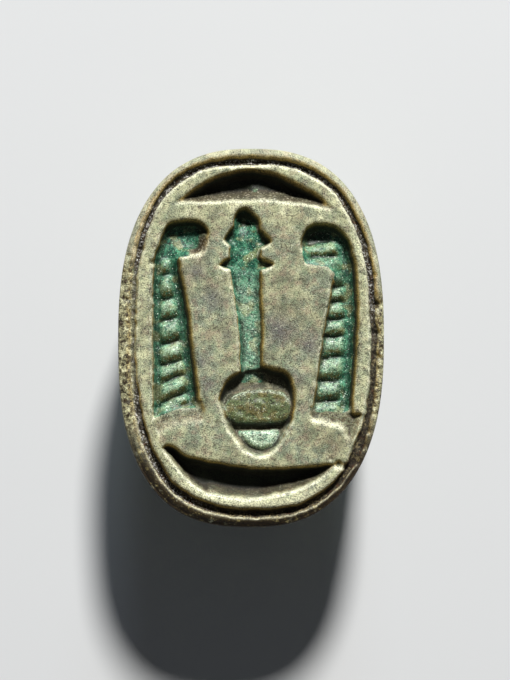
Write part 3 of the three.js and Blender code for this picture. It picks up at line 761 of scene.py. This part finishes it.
# %% Patches on the bare face
# Place across and along in shares, radius in millimetres, strength
GREY_PATCHES = [(-0.41, 0.35, 0.42, 0.8), (-0.29, 0.2, 0.55, 0.7), (-0.365, -0.13, 0.35, 0.7),
                (-0.33, -0.25, 0.3, 0.7), (-0.18, 0.01, 0.3, 0.5), (0.215, 0.04, 0.66, 0.95),
                (0.44, -0.04, 0.5, 0.85), (0.36, -0.22, 0.4, 0.4)]
BROWN_PATCHES = [(0.25, 0.49, 0.45, 0.6), (0.35, 0.64, 0.22, 0.9), (0.6, -0.56, 0.7, 0.9),
                 (0.1, -0.66, 0.5, 0.3), (-0.5, -0.6, 0.35, 0.4), (0.2, 0.25, 0.3, 0.4),
                 (-0.33, 0.5, 0.3, 0.4), (0.32, 0.1, 1.4, 0.4)]
PALE_PATCHES = [(-0.45, 0.66, 0.6, 0.9), (-0.1, 0.68, 0.7, 1.0), (0.25, 0.67, 0.6, 0.9),
                (0.52, 0.63, 0.45, 0.8), (0.1, -0.655, 0.35, 0.6), (-0.3, -0.58, 0.3, 0.6)]

inside = soft_step(into_signs, -0.03, 0.05)
inner_ridge = soft_step(to_line, 0.12, 0.26) * (1 - soft_step(to_line, 0.5, 0.75))
pale_ridge = inner_ridge * (0.5 + 0.5 * soft_step(-sheet_y, 5.5, 7))
grey, brown, pale = (np.maximum.reduce(spots(places)) * (1 - inside)
                     for places in (GREY_PATCHES, BROWN_PATCHES, PALE_PATCHES))
pale = np.maximum(pale, pale_ridge * (1 - inside))
print("patches cover", [round(100 * float(np.mean(patch > 0.3))) for patch in (grey, brown, pale)], "% of it")

# %% [markdown]
# Glaze survives low in the columns and the stem, over the cushions and in one spot of the upper basket. It is
# gone from the ramps at the columns' lower ends and beside the left head, where earth has settled instead. It
# is also taken off the steep walls that face away from the lamp beyond the head end, so that the dark stain
# shows there as painted shade.

# %% Where glaze is left and earth has settled
columns = np.maximum(edge["left column"], edge["right column"])
walls = np.maximum.reduce([down[sign] for sign in ("left column", "right column", "stem", "heart")])
on_rungs = np.maximum(left_between * down["left column"], right_between * down["right column"])
phase = np.where(sheet_x < 0, left_phase, right_phase)
head_ramp = np.clip(1.8 * spot(-0.375, 0.47, 0.55), 0, 1) * soft_step(edge["left column"], -0.05, 0.05)
head_ramp = head_ramp * (1 - soft_step(edge["left column"], 0.35, 0.7))
ramp_start = 0.372 + 0.35 * np.clip(-0.54 - u_share, 0, 0.2)
ramp_share = soft_step(ramps, 0, 0.6) * soft_step(-v_share + 0.02 * lumpy(0.3, 27) - ramp_start, 0, 0.05)
left_end = soft_step(-v_share - ramp_start, -0.012, 0.012) * (sheet_x < 0)
# Steep walls that face away from the lamp lose their glaze, so the dark stain there shows as painted shade
steep_shade = soft_step(-towards_lamp, 0.3, 0.9) * (1 - soft_step(columns, 0.12, 0.3))
olive = soft_step(edge["upper cushion"], 0.0, 0.25)
lower_cushion = soft_step(edge["lower cushion"], 0.0, 0.12)
rubbed_stem = soft_step(edge["stem"], 0.1, 0.3) * soft_step(-v_share, -0.42, -0.2)
right_walls = soft_step(drop_towards(wide, -1, 0), 0.3, 1.0)
glaze = soft_step(np.maximum(columns, edge["stem"]) - 0.12 * right_walls, 0.03, 0.2)
glaze = glaze * (1 - 0.9 * head_ramp) * (1 - ramp_share) * (1 - left_end) * (1 - 0.8 * steep_shade)
glaze_spot = 0.45 * spot(0.03, 0.785, 0.25) * upper_down
glaze = np.maximum.reduce([glaze, 0.8 * olive, 0.8 * lower_cushion, glaze_spot])
shaded_basket = soft_step(edge["upper basket"] + 0.04 * lumpy(0.2, 39), 0.03, 0.2)
golden_basket = soft_step(edge["lower basket"] + 0.05 * lumpy(0.25, 40), 0.08, 0.34)
earth = np.maximum.reduce([ramp_share, head_ramp, upper_down, lower_down, 0.85 * shaded_basket,
                           0.85 * golden_basket, 0.6 * soft_step(edge["heart"], 0.2, 0.4)])
print("glaze on", round(100 * float(np.mean(glaze > 0.5))), "% and earth on",
      round(100 * float(np.mean(earth * inside > 0.5))), "% of the sheet")

# %% [markdown]
# All traces are now gathered under the names by which the finish will ask for them. The rungs give three: a
# rubbed top that carries a painted highlight on its lamp side, a brown foot and a dark notch of painted
# shade, each a stretch of the phase between two notches.

# %% The traces on the face
face_traces = {
    "glaze": glaze,
    "olive": olive,
    "pale_glaze": np.maximum(lower_cushion, 0.35 * rubbed_stem),
    "tan": shoulder,
    "pale": pale,
    "grey": grey,
    "brown": brown,
    "shaded": shaded_basket,
    "golden": golden_basket,
    "ramp": ramp_share,
    "speckled": np.maximum(soft_step(v_share, -0.1, 0.3), soft_step(-u_share, 0.2, 0.5)),
    "wall": inside * (1 - soft_step(walls, 0.8, 1.0)) * (1 - soft_step(ramps, 0, 0.3)) * (1 - head_ramp),
    # Rung tops: rubbed glaze, and a painted highlight over the upper side that faces the lamp
    "rung_top": on_rungs * soft_step(phase, 0.25, 0.5) * (1 - soft_step(phase, 0.8, 1.0)),
    "rung_foot": on_rungs * soft_step(phase, 0.0, 0.08) * (1 - soft_step(phase, 0.3, 0.5)),
    # The notch between rungs, painted nearly black as shade
    "notch": on_rungs * (soft_step(phase, 0.9, 0.98) + 1 - soft_step(phase, 0.03, 0.12)),
    "earth": np.clip(earth, 0, 1) * inside,
    "grime": in_line * (1 - 0.5 * worn_left),
    "crest": crest,
    "hollow": hollow,
    # Slopes that face the key lamp and slopes that face away from it: the masks for painted highlights and
    # painted shade
    "to_head": soft_step(towards_lamp, 0.2, 0.9),
    "from_head": soft_step(-towards_lamp, 0.2, 0.9),
    "rim": on_rim * (1 - in_line),
    "rim_tan": on_rim * (1 - soft_step(-to_line, 0.2, 0.34)),
    "low_rim": on_rim * low_end,
    "bevel": low_end * (1 - soft_step(to_rim, 0.18, 0.3)),
    "worn": worn * np.maximum(on_rim, in_line * 0.6),
    "deep": np.clip(depth, 0, 1),
}
print(len(face_traces), "kinds of trace on the face")

# %% [markdown]
# The body has fewer: the shares of the face fade out under the rim, and there the lines, the leg gaps, the
# neck and the hole hold the dirt.

# %% Store the shares on the mesh
def stone_shares(x, y, z):
    below = face_height(x, y) - z
    on_face = 1 - soft_step(below, 0.06, 0.3)
    shares = {name: read_sheet(share, x, y) * on_face for name, share in face_traces.items()}
    shares["body"] = 1 - on_face
    from_hole = np.hypot(x, z - HOLE_HEIGHT)
    bore = 1 - soft_step(from_hole, HOLE_RADIUS * 1.02, HOLE_RADIUS * 1.25)
    neck = 0.85 * np.exp(-(((z - (TOP - 1.65)) / 0.16) ** 2))
    lines = back_line_depth(x, y, z) / LINE_DEPTH
    gaps = leg_gap_depth(x, y, z) / LEG_GAP_DEPTH
    shares["cut"] = np.maximum.reduce([lines, gaps, neck, bore]) * (1 - on_face)
    return shares


corner_x, corner_y, corner_z = corner_places(stone.data).T
for name, share in stone_shares(corner_x, corner_y, corner_z).items():
    stored = stone.data.attributes.new(name, "FLOAT", "POINT")
    stored.data.foreach_set("value", np.clip(share, 0, 1).astype(np.float32))
    print(name, "is over a half on", round(100 * float(np.mean(share > 0.5))), "% of the corners")

# %% [markdown]
# A flat layout lets the finish be baked onto a picture. An automatic one would break the relief into
# thousands of islands. Here the face and the back are laid flat as seen from above and below, the flanks are
# unrolled into one strip, and the hole into another.

# %% Lay the surface out flat
def lay_out_flat(mesh):
    count, corners = len(mesh.polygons), len(mesh.loops)
    sides, starts, facing = np.empty(count, int), np.empty(count, int), np.empty(count * 3)
    numbers = np.empty(corners, int)
    mesh.polygons.foreach_get("loop_total", sides)
    mesh.polygons.foreach_get("loop_start", starts)
    mesh.polygons.foreach_get("normal", facing)
    mesh.loops.foreach_get("vertex_index", numbers)
    owner = np.repeat(np.arange(count), sides)
    x, y, z = corner_x[numbers], corner_y[numbers], corner_z[numbers]
    mean = lambda value: np.add.reduceat(value, starts) / sides
    middle_x, middle_y, middle_z = mean(x), mean(y), mean(z)
    facing = facing.reshape(-1, 3)

    def turn_on_dome(px, py, pz):
        out = out_share(px, py, HALF_WIDTH - NECK_DEPTH, HALF_LENGTH - NECK_DEPTH, STONE_SQUARENESS)
        return np.arctan2(np.maximum(DOME_FOOT - pz, 0) / DOME_FOOT, out)

    def unrolled(across, up):
        whole = np.arctan2(mean(across), mean(up))[owner]
        return whole + (np.arctan2(across, up) - whole + math.pi) % (2 * math.pi) - math.pi

    to_axis = facing[:, 0] * middle_x + facing[:, 2] * (middle_z - HOLE_HEIGHT)
    is_hole = (np.hypot(middle_x, middle_z - HOLE_HEIGHT) < HOLE_RADIUS * 1.25) & (to_axis < 0)
    looks_up = (facing[:, 2] > 0) & (middle_z > TOP - 1.25)
    is_face = looks_up & (distance_to_rim(middle_x, middle_y) > 0.01) & ~is_hole
    is_back = (turn_on_dome(middle_x, middle_y, middle_z) > 0.7) & ~is_hole & ~is_face
    drop = np.where(z > DOME_FOOT, TOP - z, TOP - DOME_FOOT + 4.2 * turn_on_dome(x, y, z))
    u = 0.5 + 0.153 * unrolled(x / HALF_WIDTH, y / HALF_LENGTH)
    v = 0.16 - 0.0225 * drop
    for chosen, across, up in (
            (is_face, 0.305 + 0.05 * x, 0.58 + 0.0495 * y),
            (is_back, 0.795 - 0.041 * x, 0.45 + 0.041 * y),
            (is_hole, 0.795 + 0.0235 * y, 0.88 + 0.03 * unrolled(x, z - HOLE_HEIGHT))):
        u, v = np.where(chosen[owner], across, u), np.where(chosen[owner], up, v)
    layer = mesh.uv_layers.new(name="OFBake")
    layer.data.foreach_set("uv", np.stack([u, v], axis=-1).ravel().astype(np.float32))
    return [int(chosen.sum()) for chosen in (is_face, is_back, is_hole)], u.min(), u.max(), v.min(), v.max()


print("faces on the front, the back and in the hole, and the layout's extent:", lay_out_flat(stone.data))

# %% [markdown]
# One small class makes shader maths readable: it wraps a socket, so that sums are written as in Python and
# each adds its Math node. Every other node comes from one method. Colours are written as the eye sees them
# on a screen and turned into the linear values that the renderer works in. A finish is laid on in coats,
# from the lowest up, and each coat has a name, which labels its node too, a share and a colour.

# %% Shader maths as Python
def seen_colour(red, green, blue):
    screen = (red / 255, green / 255, blue / 255)
    return (*(c / 12.92 if c <= 0.04045 else ((c + 0.055) / 1.055) ** 2.4 for c in screen), 1.0)


class Wire:
    """A socket that gives a value; sums on it add Math nodes."""

    def __init__(self, finish, socket):
        self.finish, self.socket = finish, socket

    def sum_with(self, operation, first, second):
        return self.finish.node("ShaderNodeMath", {"operation": operation}, {0: first, 1: second})

    def __add__(self, other):
        return self.sum_with("ADD", self, other)

    def __sub__(self, other):
        return self.sum_with("SUBTRACT", self, other)

    def __rsub__(self, other):
        return self.sum_with("SUBTRACT", other, self)

    def __mul__(self, other):
        return self.sum_with("MULTIPLY", self, other)

    __radd__, __rmul__ = __add__, __mul__


class Finish:
    """A material that is built node by node."""

    def __init__(self, name):
        self.material = bpy.data.materials.new(name)
        self.material.use_nodes = True
        self.tree = self.material.node_tree
        self.shader = self.tree.nodes["Principled BSDF"]
        self.place = self.node("ShaderNodeTexCoord", {}, {}, "Object")

    def node(self, kind, settings, sockets, output=0):
        made = self.tree.nodes.new(kind)
        for key, value in settings.items():
            if key == "stops":
                self.set_stops(made.color_ramp, value)
            else:
                setattr(made, key, value)
        for key, value in sockets.items():
            self.plug(made.inputs[key], value)
        return Wire(self, made.outputs[output])

    def set_stops(self, ramp, stops):
        while len(ramp.elements) < len(stops):
            ramp.elements.new(0.5)
        for element, (place, colour) in zip(ramp.elements, stops):
            element.position, element.color = place, colour

    def plug(self, socket, value):
        if isinstance(value, Wire):
            self.tree.links.new(value.socket, socket)
        else:
            socket.default_value = value

    def share(self, name):
        return self.node("ShaderNodeAttribute", {"attribute_name": name}, {}, "Fac")

    def noise(self, size, detail=2.0, roughness=0.5):
        """Cloudy noise from 0 to 1 with lumps of this size in millimetres."""
        return self.node("ShaderNodeTexNoise", {}, {
            "Scale": 1 / (size * MM), "Detail": detail, "Roughness": roughness, "Vector": self.place})

    def step(self, value, start, end):
        """0 below start, 1 above end, soft between."""
        return self.node("ShaderNodeMapRange", {"interpolation_type": "SMOOTHSTEP"},
                         {"Value": value, "From Min": start, "From Max": end})

    def mix(self, share, under, over):
        """Two colours mixed, each from a socket or as the eye sees it."""
        pair = [seen_colour(*colour) if isinstance(colour, tuple) else colour for colour in (under, over)]
        return self.node("ShaderNodeMix", {"data_type": "RGBA"}, {0: share, 6: pair[0], 7: pair[1]}, 2)

    def coats(self, colour, layers):
        """Layers of a name, a share and a colour, laid over a colour from the lowest up."""
        for name, share, over in layers:
            colour = self.mix(share, colour, over)
            colour.socket.node.label = name
        return colour

    def shade(self, colour, brightness):
        return self.node("ShaderNodeVectorMath", {"operation": "SCALE"}, {0: colour, "Scale": brightness})

    def ramp(self, value, stops):
        stops = [(place, seen_colour(*colour)) for place, colour in stops]
        return self.node("ShaderNodeValToRGB", {"stops": stops}, {0: value})


print("130, 139, 116 on a screen is", [round(c, 3) for c in seen_colour(130, 139, 116)], "to the renderer")

# %% [markdown]
# Bare steatite is a grey-beige stone with cloudy tone and fine grains, rubbed matt. Noise at several sizes
# gives it: clouds of a millimetre and patches of a half, some pinkish and some greenish, and small dark
# pits. A trace reads a share stored on the mesh, and a fade makes a share out of noise. The finest grains
# differ in brightness only, so they are left to the end.

# %% Bare stone
steatite = Finish("glazed_steatite")
trace, fade = steatite.share, steatite.step
clouds, patches = steatite.noise(1.5, 3.0), steatite.noise(0.55, 2.0)
mottling, hue_grain = steatite.noise(0.3, 3.0, 0.65), steatite.noise(0.42, 2.0, 0.6)
grain, speck = steatite.noise(0.11, 2.0, 0.6), steatite.noise(0.048, 1.0)
uneven = mottling - 0.5
pits, pale_grains = fade(grain, 0.58, 0.64), fade(grain, 0.4, 0.32)
dots = fade(speck, 0.63, 0.68) * fade(clouds + uneven * 0.4, 0.42, 0.6)
colour = steatite.coats((130, 139, 116), [
    ("warm clouds", fade(clouds, 0.4, 0.6), (147, 148, 117)),
    ("light patches", fade(patches, 0.46, 0.62) * 0.65, (182, 182, 144)),
    ("dark patches", fade(patches, 0.46, 0.32) * 0.6, (110, 114, 90)),
    ("pinkish tint", fade(hue_grain, 0.52, 0.66) * 0.55, (156, 138, 116)),
    ("greenish tint", fade(hue_grain, 0.46, 0.34) * 0.5, (126, 144, 112)),
    ("grey stain", trace("grey") * fade(mottling, 0.22, 0.5), (94, 91, 93)),
    ("brown stain", trace("brown") * fade(mottling, 0.3, 0.6) * 0.8, (118, 108, 82)),
    ("pale stone", trace("pale") * fade(mottling, 0.3, 0.55) * 0.85, (202, 202, 160)),
    ("palest stone", fade(trace("pale"), 0.6, 1.0) * 0.4, (224, 222, 190)),
    ("pits", pits * 0.75, (66, 60, 44)),
    ("dark dots", dots * 0.8, (48, 42, 30)),
    ("pale grains", pale_grains * 0.5, (204, 206, 180)),
])
print("bare stone:", len(steatite.tree.nodes), "nodes")

# %% [markdown]
# Where the edge of a cut was rubbed, the stone is almost white. The outer rim is tanned, darker at the lower
# end, and crumbly on both sides, where flakes have gone. All follow the stored shares, broken up by noise so
# no line is even.

# %% Rubbed lips and rim
crumbs, flakes = steatite.noise(0.13, 3.0, 0.7), steatite.noise(0.26, 3.0, 0.75)
broken = fade(patches, 0.36, 0.52)
flaked_rim, low_rim = trace("worn"), trace("low_rim")
rim_tan = trace("rim_tan") * fade(mottling, 0.3, 0.5)
rubbed_lips = fade(trace("crest"), 0.3, 1.0) * (1 - low_rim * 0.7)
colour = steatite.coats(colour, [
    ("rim", trace("rim") * 0.4, (180, 176, 150)),
    ("tanned rim", rim_tan * 0.9, (156, 124, 64)),
    ("low rim, rubbed", low_rim * rim_tan * broken * 0.6, (158, 150, 106)),
    ("low rim, darker", low_rim * fade(mottling, 0.8, 0.55) * (1 - rim_tan * 0.2), (50, 39, 13)),
    ("low rim, pale flakes", low_rim * fade(flakes, 0.44, 0.37) * 0.6, (168, 154, 98)),
    ("flaked stone", flaked_rim * 0.6, (152, 146, 104)),
    ("dark flakes", flaked_rim * fade(flakes, 0.51, 0.57), (56, 44, 26)),
    ("pale flakes", flaked_rim * fade(flakes, 0.46, 0.38), (198, 196, 158)),
    ("rubbed lips", rubbed_lips * fade(mottling, 0.35, 0.6) * 0.5, (214, 214, 188)),
])
print("with lips and rim:", len(steatite.tree.nodes), "nodes")

# %% [markdown]
# On the walls of the cuts the glaze has stained the stone yellow, then olive; lower down this colour and the
# colours of the earth darken to near black, partly earth and partly painted shade inside the cuts. Slopes
# that face the lamp beyond the head end are kept free of the stain and painted pale at the top as a
# highlight; slopes and shoulders that face away from it take the stain from the lip down as painted shade.
# The upper basket holds dull brown earth, the lower one is golden brown, and the ramps are washed nearly back
# to the stone.

# %% Stained walls and earth
deep = trace("deep") + uneven * 0.1
shaded, golden = trace("shaded"), trace("golden")
# Slopes facing the lamp and facing away from it, for painted highlight and painted shade
to_head, from_head = trace("to_head"), trace("from_head")
# Stain and earth colours darken with depth to near black: partly stain and earth, partly painted shade inside
# the cuts
wall_stain_and_shade = steatite.ramp(deep, [
    (0.02, (190, 176, 118)), (0.11, (178, 150, 80)), (0.22, (98, 82, 34)), (0.36, (26, 32, 18))])
brown_earth_and_shade = steatite.ramp(deep, [
    (0.03, (196, 190, 158)), (0.12, (126, 112, 82)), (0.3, (74, 60, 36)), (0.6, (42, 31, 18))])
golden_earth_and_shade = steatite.ramp(deep, [(0.12, (156, 130, 70)), (0.26, (84, 64, 22)), (0.42, (32, 25, 7))])
earth_colour = steatite.coats(brown_earth_and_shade, [
    ("dull earth", shaded * (0.5 + broken * 0.4), (62, 54, 38)),
    ("golden earth", golden * 0.88, golden_earth_and_shade),
    ("dark grains", fade(grain, 0.5, 0.64) * 0.8, (44, 34, 22)),
    ("pale grains", fade(grain, 0.44, 0.38) * (0.6 - golden * 0.42), (180, 172, 152)),
    ("washed ramps", trace("ramp") * fade(crumbs, 0.62, 0.42) * 0.7, (134, 138, 110)),
])
# washed is a painted highlight: pale cream near the top of slopes that face the lamp
washed = to_head * fade(deep, 0.3, 0.08) * (1 - shaded * 0.9) * (1 - golden * 0.8)
# Stain on the walls, from the lip down and on the shoulders goes where slopes face away from the lamp: stain
# colour that is partly painted shade
colour = steatite.coats(colour, [
    ("earth", trace("earth"), earth_colour),
    ("stained walls with painted shade", trace("wall") * fade(deep, 0.1, 0.16) * (1 - to_head), wall_stain_and_shade),
    ("painted highlight on lamp-facing slopes", washed * 0.85, (218, 216, 186)),
    ("stain and painted shade from the lip down", from_head * fade(deep, 0.0, 0.08) * 0.9, wall_stain_and_shade),
    ("tanned shoulders with painted shade", trace("tan") * (0.35 + broken * 0.55), wall_stain_and_shade),
])
print("with walls and earth:", len(steatite.tree.nodes), "nodes")

# %% [markdown]
# The glaze has aged to a matt blue-green, clearest in the plain troughs. On the rungs it is rubbed through to
# a pale grey-green, which covers their upper sides that face the lamp as a painted highlight; they are brown
# at their feet, and each notch between them is painted nearly black as shade. In the heart the upper cushion
# is olive and brown, with a rubbed upper edge that faces the lamp and carries a painted highlight, and the
# lower one is the palest green of all.

# %% Glaze in the cuts
glaze_left = trace("glaze")
cushion_colour = steatite.coats((94, 106, 70), [
    ("brown tint", fade(hue_grain, 0.4, 0.6), (104, 98, 58)),
    ("brown crumbs", fade(crumbs, 0.56, 0.66) * 0.8, (56, 42, 24)),
    # Pale on the cushion's slope that faces the lamp: a rubbed edge and a painted highlight
    ("rubbed edge with painted highlight", to_head * fade(crumbs, 0.62, 0.46), (178, 186, 164)),
])
green = steatite.coats((20, 88, 68), [
    ("lighter glaze", fade(mottling, 0.4, 0.62), (74, 134, 104)),
    ("stained glaze", fade(patches, 0.5, 0.64) * 0.7, (136, 136, 92)),
    ("pits", pits * 0.8, (34, 40, 24)),
    ("pale grains", pale_grains * 0.35, (150, 180, 152)),
    ("feet of rungs", trace("rung_foot") * fade(crumbs, 0.68, 0.44) * 0.9, (88, 82, 40)),
    # Pale rung tops: rubbed glaze and a painted highlight on the lamp side
    ("rubbed rungs with painted highlight", trace("rung_top") * fade(crumbs, 0.35, 0.55) * 0.85, (142, 166, 134)),
    # Notches painted nearly black: painted shade under each rung
    ("notches", trace("notch") * 0.75, (20, 32, 18)),
    ("palest glaze", trace("pale_glaze") * fade(crumbs, 0.3, 0.6) * 0.8, (208, 224, 196)),
    ("upper cushion", trace("olive"), cushion_colour),
])
colour = steatite.coats(colour, [("glaze", fade(glaze_left + uneven * 0.5, 0.3, 0.7), green)])
print("with glaze:", len(steatite.tree.nodes), "nodes")

# %% [markdown]
# The border line is packed with earth. At the head end and on the left it is full of pale grains, elsewhere
# it has flakes, pale and dark, and on walls that face away from the lamp beyond the head end it is painted
# nearly black as shade. The same dark colour is laid into every hollow, partly dirt and partly painted shade.

# %% Dirt
grime, speckled = trace("grime"), trace("speckled")
dirt = steatite.coats((92, 86, 68), [
    ("darker earth", fade(hue_grain, 0.4, 0.6), (44, 36, 24)),
    ("rusty flakes", fade(flakes, 0.54, 0.6) * 0.8, (88, 54, 24)),
    ("pale flakes", fade(flakes, 0.45, 0.39) * (1 - speckled), (148, 134, 98)),
    ("dark crumbs", fade(crumbs, 0.54, 0.6) * (1 - speckled), (34, 22, 12)),
    ("pale grains", fade(grain, 0.53, 0.6) * speckled, (192, 190, 186)),
    # Walls in the border line that face away from the lamp: dirt colour darkened as painted shade
    ("painted shade on walls away from the lamp", from_head * 0.8, (42, 30, 16)),
])
colour = steatite.coats(colour, [
    ("dirt in the border line", fade(grime + uneven * 0.4, 0.4, 0.8), dirt),
    # Every concave place darkened: dirt, and painted shade where corners and creases would be shaded
    ("dirt and painted shade in hollows", fade(trace("hollow"), 0.4, 1.0) * 0.5, (32, 27, 17)),
])
print("with dirt:", len(steatite.tree.nodes), "nodes")

# %% [markdown]
# The back and sides aren't seen in the photo. Such beetles keep a thin green glaze in patches, rubbed off the
# high places, with brown earth in every line, the neck and the string hole. The rounded edge of the plate is
# darker at its lower end.

# %% Back and sides
body = trace("body")
body_glaze = fade(clouds + uneven * 0.5, 0.42, 0.58)
body_green = steatite.mix(fade(mottling, 0.3, 0.7), (70, 92, 66), (108, 124, 90))
body_colour = steatite.coats(colour, [
    ("thin green glaze", body_glaze * 0.8, body_green),
    ("earth in the lines", fade(trace("cut") + (grain - 0.5) * 0.3, 0.3, 0.8), (52, 40, 26)),
])
colour = steatite.coats(colour, [
    ("back and sides", body, body_colour),
    ("darker lower bevel", trace("bevel") * fade(mottling, 0.7, 0.4) * 0.95, (46, 33, 16)),
])
print("with back and sides:", len(steatite.tree.nodes), "nodes")

# %% [markdown]
# Glaze is smoother than stone, and earth is the roughest. Grains of a few hundredths of a millimetre are too
# small for the mesh: they are a bump, and a brightness that dims or lifts every colour alike. Small white
# specks of painted highlight sit in the glaze and in the speckled earth.

# %% Gloss and grain
BUMP_HEIGHT, STONE_SPECULAR = 0.03 * MM, 0.45
painted_glints = fade(speck, 0.69, 0.75) * (glaze_left + grime * speckled)
colour = steatite.coats(colour, [("painted_glints", painted_glints * 0.7, (226, 232, 220))])
brightness = 1.0 + (speck - 0.5) * 3.6 + (grain - 0.5) * 1.1 + uneven * 1.5 + (patches - 0.5) * 0.5
shine = glaze_left * 0.9 + body * body_glaze * 0.6
grit = grain * 0.6 + speck * 0.4 + crumbs * (flaked_rim + grime) * 2.0
bump = steatite.node("ShaderNodeBump", {}, {"Strength": 1.0, "Distance": BUMP_HEIGHT, "Height": grit})
steatite.plug(steatite.shader.inputs["Base Color"], steatite.shade(colour, brightness))
steatite.plug(steatite.shader.inputs["Roughness"], 0.7 - shine * 0.3 + grime * 0.2 + uneven * 0.15)
steatite.plug(steatite.shader.inputs["Specular IOR Level"], STONE_SPECULAR)
steatite.plug(steatite.shader.inputs["Normal"], bump)
stone.data.materials.clear()
stone.data.materials.append(steatite.material)
stone.data.shade_smooth()
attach(stone, "root")
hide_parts("scarab")
print("finish done:", len(steatite.tree.nodes), "nodes")

# %% [markdown]
# The amulet lies on a plain pale floor. The photo's light is one lamp, soft but not large, which stands
# about 40 degrees high beyond the amulet's head end, a little to the right: it throws short shadows from
# every upper wall. Weak light from all round keeps them from going quite black, and a cool low one catches
# the top of the rim.

# %% Floor, light and camera
def plain_floor(radius=1.2, sides=64):
    turns = np.linspace(0, 2 * math.pi, sides, endpoint=False)
    mesh = bpy.data.meshes.new("floor")
    corners = [(radius * math.cos(turn), radius * math.sin(turn), 0) for turn in turns]
    mesh.from_pydata(corners, [], [tuple(range(sides))])
    floor = bpy.data.objects.new("floor", mesh)
    bpy.context.scene.collection.objects.link(floor)
    paper = Finish("pale_paper")
    tone = paper.mix(paper.noise(40.0, 2.0), (206, 207, 210), (214, 215, 217))
    paper.plug(paper.shader.inputs["Base Color"], tone)
    paper.shader.inputs["Roughness"].default_value = 0.9
    mesh.materials.append(paper.material)


def soft_lamp(name, turn, lift, size, power, colour, distance=0.5):
    """An area lamp at this compass turn and lift in degrees, aimed at the face."""
    turn, lift = math.radians(turn), math.radians(lift)
    direction = Vector((math.sin(turn) * math.cos(lift), math.cos(turn) * math.cos(lift), math.sin(lift)))
    lamp = bpy.data.lights.new(name, "AREA")
    lamp.shape, lamp.size, lamp.energy, lamp.color = "DISK", size, power, colour
    holder = bpy.data.objects.new(name, lamp)
    holder.location = Vector((0, 0, TOP * MM)) + direction * distance
    holder.rotation_euler = direction.to_track_quat("Z", "Y").to_euler()
    bpy.context.scene.collection.objects.link(holder)


plain_floor()
soft_lamp("key", 10, 41, 0.08, 4.0, (1.0, 0.99, 0.95))
soft_lamp("sky", 4, 14, 0.14, 0.7, (0.7, 0.84, 1.0))
room = bpy.data.worlds.new("room")
room.use_nodes = True
room.node_tree.nodes["Background"].inputs["Color"].default_value = (0.88, 0.93, 1.0, 1.0)
room.node_tree.nodes["Background"].inputs["Strength"].default_value = 0.06
bpy.context.scene.world = room
bpy.context.scene.view_settings.view_transform = "Standard"

CAMERA_TILT, CAMERA_DISTANCE, FOCAL_LENGTH, FILM_HEIGHT = 86.5, 150 * MM, 184, 36
AIM_ACROSS, AIM_ALONG = 0.17, -0.13
aim = Vector((AIM_ACROSS, AIM_ALONG, TOP)) * MM
tilt = math.radians(CAMERA_TILT)
towards_camera = Vector((0, -math.cos(tilt), math.sin(tilt)))
lens = bpy.data.cameras.new("camera")
lens.sensor_fit, lens.sensor_height, lens.lens, lens.clip_start = "VERTICAL", FILM_HEIGHT, FOCAL_LENGTH, 0.005
camera = bpy.data.objects.new("camera", lens)
camera.location = aim + towards_camera * CAMERA_DISTANCE
camera.rotation_euler = towards_camera.to_track_quat("Z", "Y").to_euler()
bpy.context.scene.collection.objects.link(camera)
bpy.context.scene.camera = camera
print("camera", [round(c, 4) for c in camera.location])
